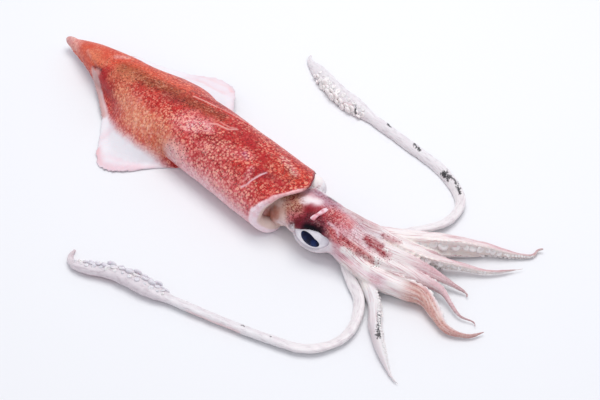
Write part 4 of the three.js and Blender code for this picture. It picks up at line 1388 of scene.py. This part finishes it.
def skinMaterial(name, look):
    material, tree = emptyMaterial(name)
    tint = node(tree, "Attribute", attribute_name="tint").outputs["Color"]
    marks = node(tree, "Attribute", attribute_name="marks").outputs["Color"]
    marks = node(tree, "SeparateColor", {"Color": marks}).outputs
    fibres = node(tree, "Group", {
        "Skin": tint, "Amount": marks[2], "Across": look["across"], "Along": look["along"],
        "Dark Colour": opaque(look["strands"])}, node_tree=strands).outputs
    pattern = node(tree, "Group", {
        "Skin": fibres["Color"], "Dots": marks[0], "Specks": marks[1],
        "Dot Colour": opaque(look["dots"]), "Dot Scale": look["dotScale"],
        "Speck Colour": opaque(look["specks"]), "Speck Scale": look["speckScale"],
    }, node_tree=chromatophores).outputs
    place = node(tree, "TexCoord").outputs["Object"]
    height = maths(tree, "ADD", pattern["Height"], times(tree, clouds(tree, place, 900.0, 3.0), 0.5))
    height = maths(tree, "ADD", height, times(tree, fibres["Height"], 2.5))
    raised = node(tree, "Bump", {"Height": height, "Strength": look["bump"], "Distance": 0.0004}).outputs[0]
    # the wet film is smoother in some places than in others
    rough = node(tree, "MapRange", {
        "Value": clouds(tree, place, 90.0, 2.0), "From Min": 0.3, "From Max": 0.7,
        "To Min": look["roughness"] - 0.08, "To Max": look["roughness"] + 0.1}).outputs[0]
    shader = node(tree, "BsdfPrincipled", {
        "Base Color": pattern["Color"], "Roughness": rough, "Normal": raised,
        "Specular IOR Level": look["gloss"], "Coat Weight": look["coat"], "Coat Roughness": 0.15, "IOR": 1.38,
        "Subsurface Weight": look["depth"], "Subsurface Scale": 0.0008, "Subsurface Radius": look["scatter"],
    })
    node(tree, "OutputMaterial", {"Surface": shader.outputs[0]})
    return material


skins = {
    "mantle": {
        "dots": "fab094", "specks": "3e120c", "strands": "b87860", "dotScale": 620.0, "speckScale": 800.0,
        "across": 2.2, "along": 0.16, "roughness": 0.42, "gloss": 0.25, "coat": 0.12, "bump": 0.45,
        "depth": 0.05, "scatter": (1.0, 0.45, 0.35)},
    "head": {
        "dots": "eebcb6", "specks": "6c101c", "strands": "c87c90", "dotScale": 900.0, "speckScale": 1000.0,
        "across": 1.6, "along": 0.07, "roughness": 0.36, "gloss": 0.14, "coat": 0.06, "bump": 0.55,
        "depth": 0.06, "scatter": (1.0, 0.45, 0.35)},
    "pale": {
        "dots": "f0e4e2", "specks": "96303c", "strands": "d0c4ca", "dotScale": 700.0, "speckScale": 1100.0,
        "across": 0.9, "along": 0.12, "roughness": 0.34, "gloss": 0.4, "coat": 0.2, "bump": 0.35,
        "depth": 0.5, "scatter": (1.4, 1.25, 1.3)},
}
mantleSkin = skinMaterial("mantle_skin", skins["mantle"])
headSkin = skinMaterial("head_skin", skins["head"])
paleSkin = skinMaterial("pale_flesh", skins["pale"])


def eyeWhiteMaterial():
    material, tree = emptyMaterial("eye_white")
    place = node(tree, "TexCoord").outputs["Object"]
    silver = clouds(tree, place, 260.0, 3.0)
    shade = mixed(tree, between01(tree, silver, 0.35, 0.7), opaque("e8e3ea"), opaque("fdf9fc"))
    shader = node(tree, "BsdfPrincipled", {
        "Base Color": shade, "Roughness": ranged(tree, silver, 0.16, 0.3), "Specular IOR Level": 0.4,
        "Coat Weight": 0.3, "Coat Roughness": 0.05})
    node(tree, "OutputMaterial", {"Surface": shader.outputs[0]})
    return material


def pupilMaterial():
    material, tree = emptyMaterial("pupil")
    place = node(tree, "TexCoord").outputs["Object"]
    misty = between01(tree, clouds(tree, place, 160.0, 2.0), 0.45, 0.7)
    shade = mixed(tree, misty, opaque("060b2a"), opaque("142a5c"))
    shader = node(tree, "BsdfPrincipled", {
        "Base Color": shade, "Roughness": 0.22, "Specular IOR Level": 0.12})
    node(tree, "OutputMaterial", {"Surface": shader.outputs[0]})
    return material


eyeWhite, pupilDark = eyeWhiteMaterial(), pupilMaterial()
finished(mantlePiece, mantleSkin)
finished(headPiece, headSkin)
finished(tentaclePiece, paleSkin)
finished(suckerPiece, paleSkin)
finished(flapPiece, paleSkin)
for side in bothSides:
    finished(eyeballs[side], eyeWhite)
    finished(pupils[side], pupilDark)
    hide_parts("eyeball_" + side)
    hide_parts("lens_" + side)
for piece in (mantlePiece, headPiece, tentaclePiece):
    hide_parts("flesh")
print("materials done")


studio = {
    "floor": (0.842, 0.847, 0.861, 1),
    "floorRoughness": 0.7,
    "floorHalf": 3,
    "world": (0.92, 0.93, 1.0, 1),
    "worldStrength": 0.705,
    "softbox": (-0.1, 0.22, 0.9),
    "softboxSize": 0.6,
    "softboxPower": 4.92,
    "camera": (0.3783, -0.3065, 0.4725),
    "target": (0.0325, 0.0154, 0),
    "lens": 75,
    "sensor": 36,
}


def floorPiece():
    bm = bmesh.new()
    bmesh.ops.create_grid(bm, x_segments=1, y_segments=1, size=studio["floorHalf"])
    floor = pieceFrom("floor", bm)
    material = bpy.data.materials.new("floor_white")
    material.use_nodes = True
    shader = material.node_tree.nodes["Principled BSDF"]
    shader.inputs["Base Color"].default_value = studio["floor"]
    shader.inputs["Roughness"].default_value = studio["floorRoughness"]
    floor.data.materials.append(material)


def aimed(thing, place, target):  # put there, looking at the target
    thing.location = place
    thing.rotation_euler = (Vector(target) - Vector(place)).to_track_quat("-Z", "Y").to_euler()
    bpy.context.scene.collection.objects.link(thing)
    return thing


floorPiece()
world = bpy.data.worlds.new("studio")
world.use_nodes = True
background = world.node_tree.nodes["Background"].inputs
background["Color"].default_value = studio["world"]
background["Strength"].default_value = studio["worldStrength"]
bpy.context.scene.world = world
softbox = bpy.data.lights.new("softbox", "AREA")
softbox.size = studio["softboxSize"]
softbox.energy = studio["softboxPower"]
aimed(bpy.data.objects.new("softbox", softbox), studio["softbox"], (0, 0, 0))
lens = bpy.data.cameras.new("camera")
lens.lens = studio["lens"]
lens.sensor_width = studio["sensor"]
bpy.context.scene.camera = aimed(bpy.data.objects.new("camera", lens), studio["camera"], studio["target"])
bpy.context.scene.view_settings.view_transform = "Standard"
print("studio done")
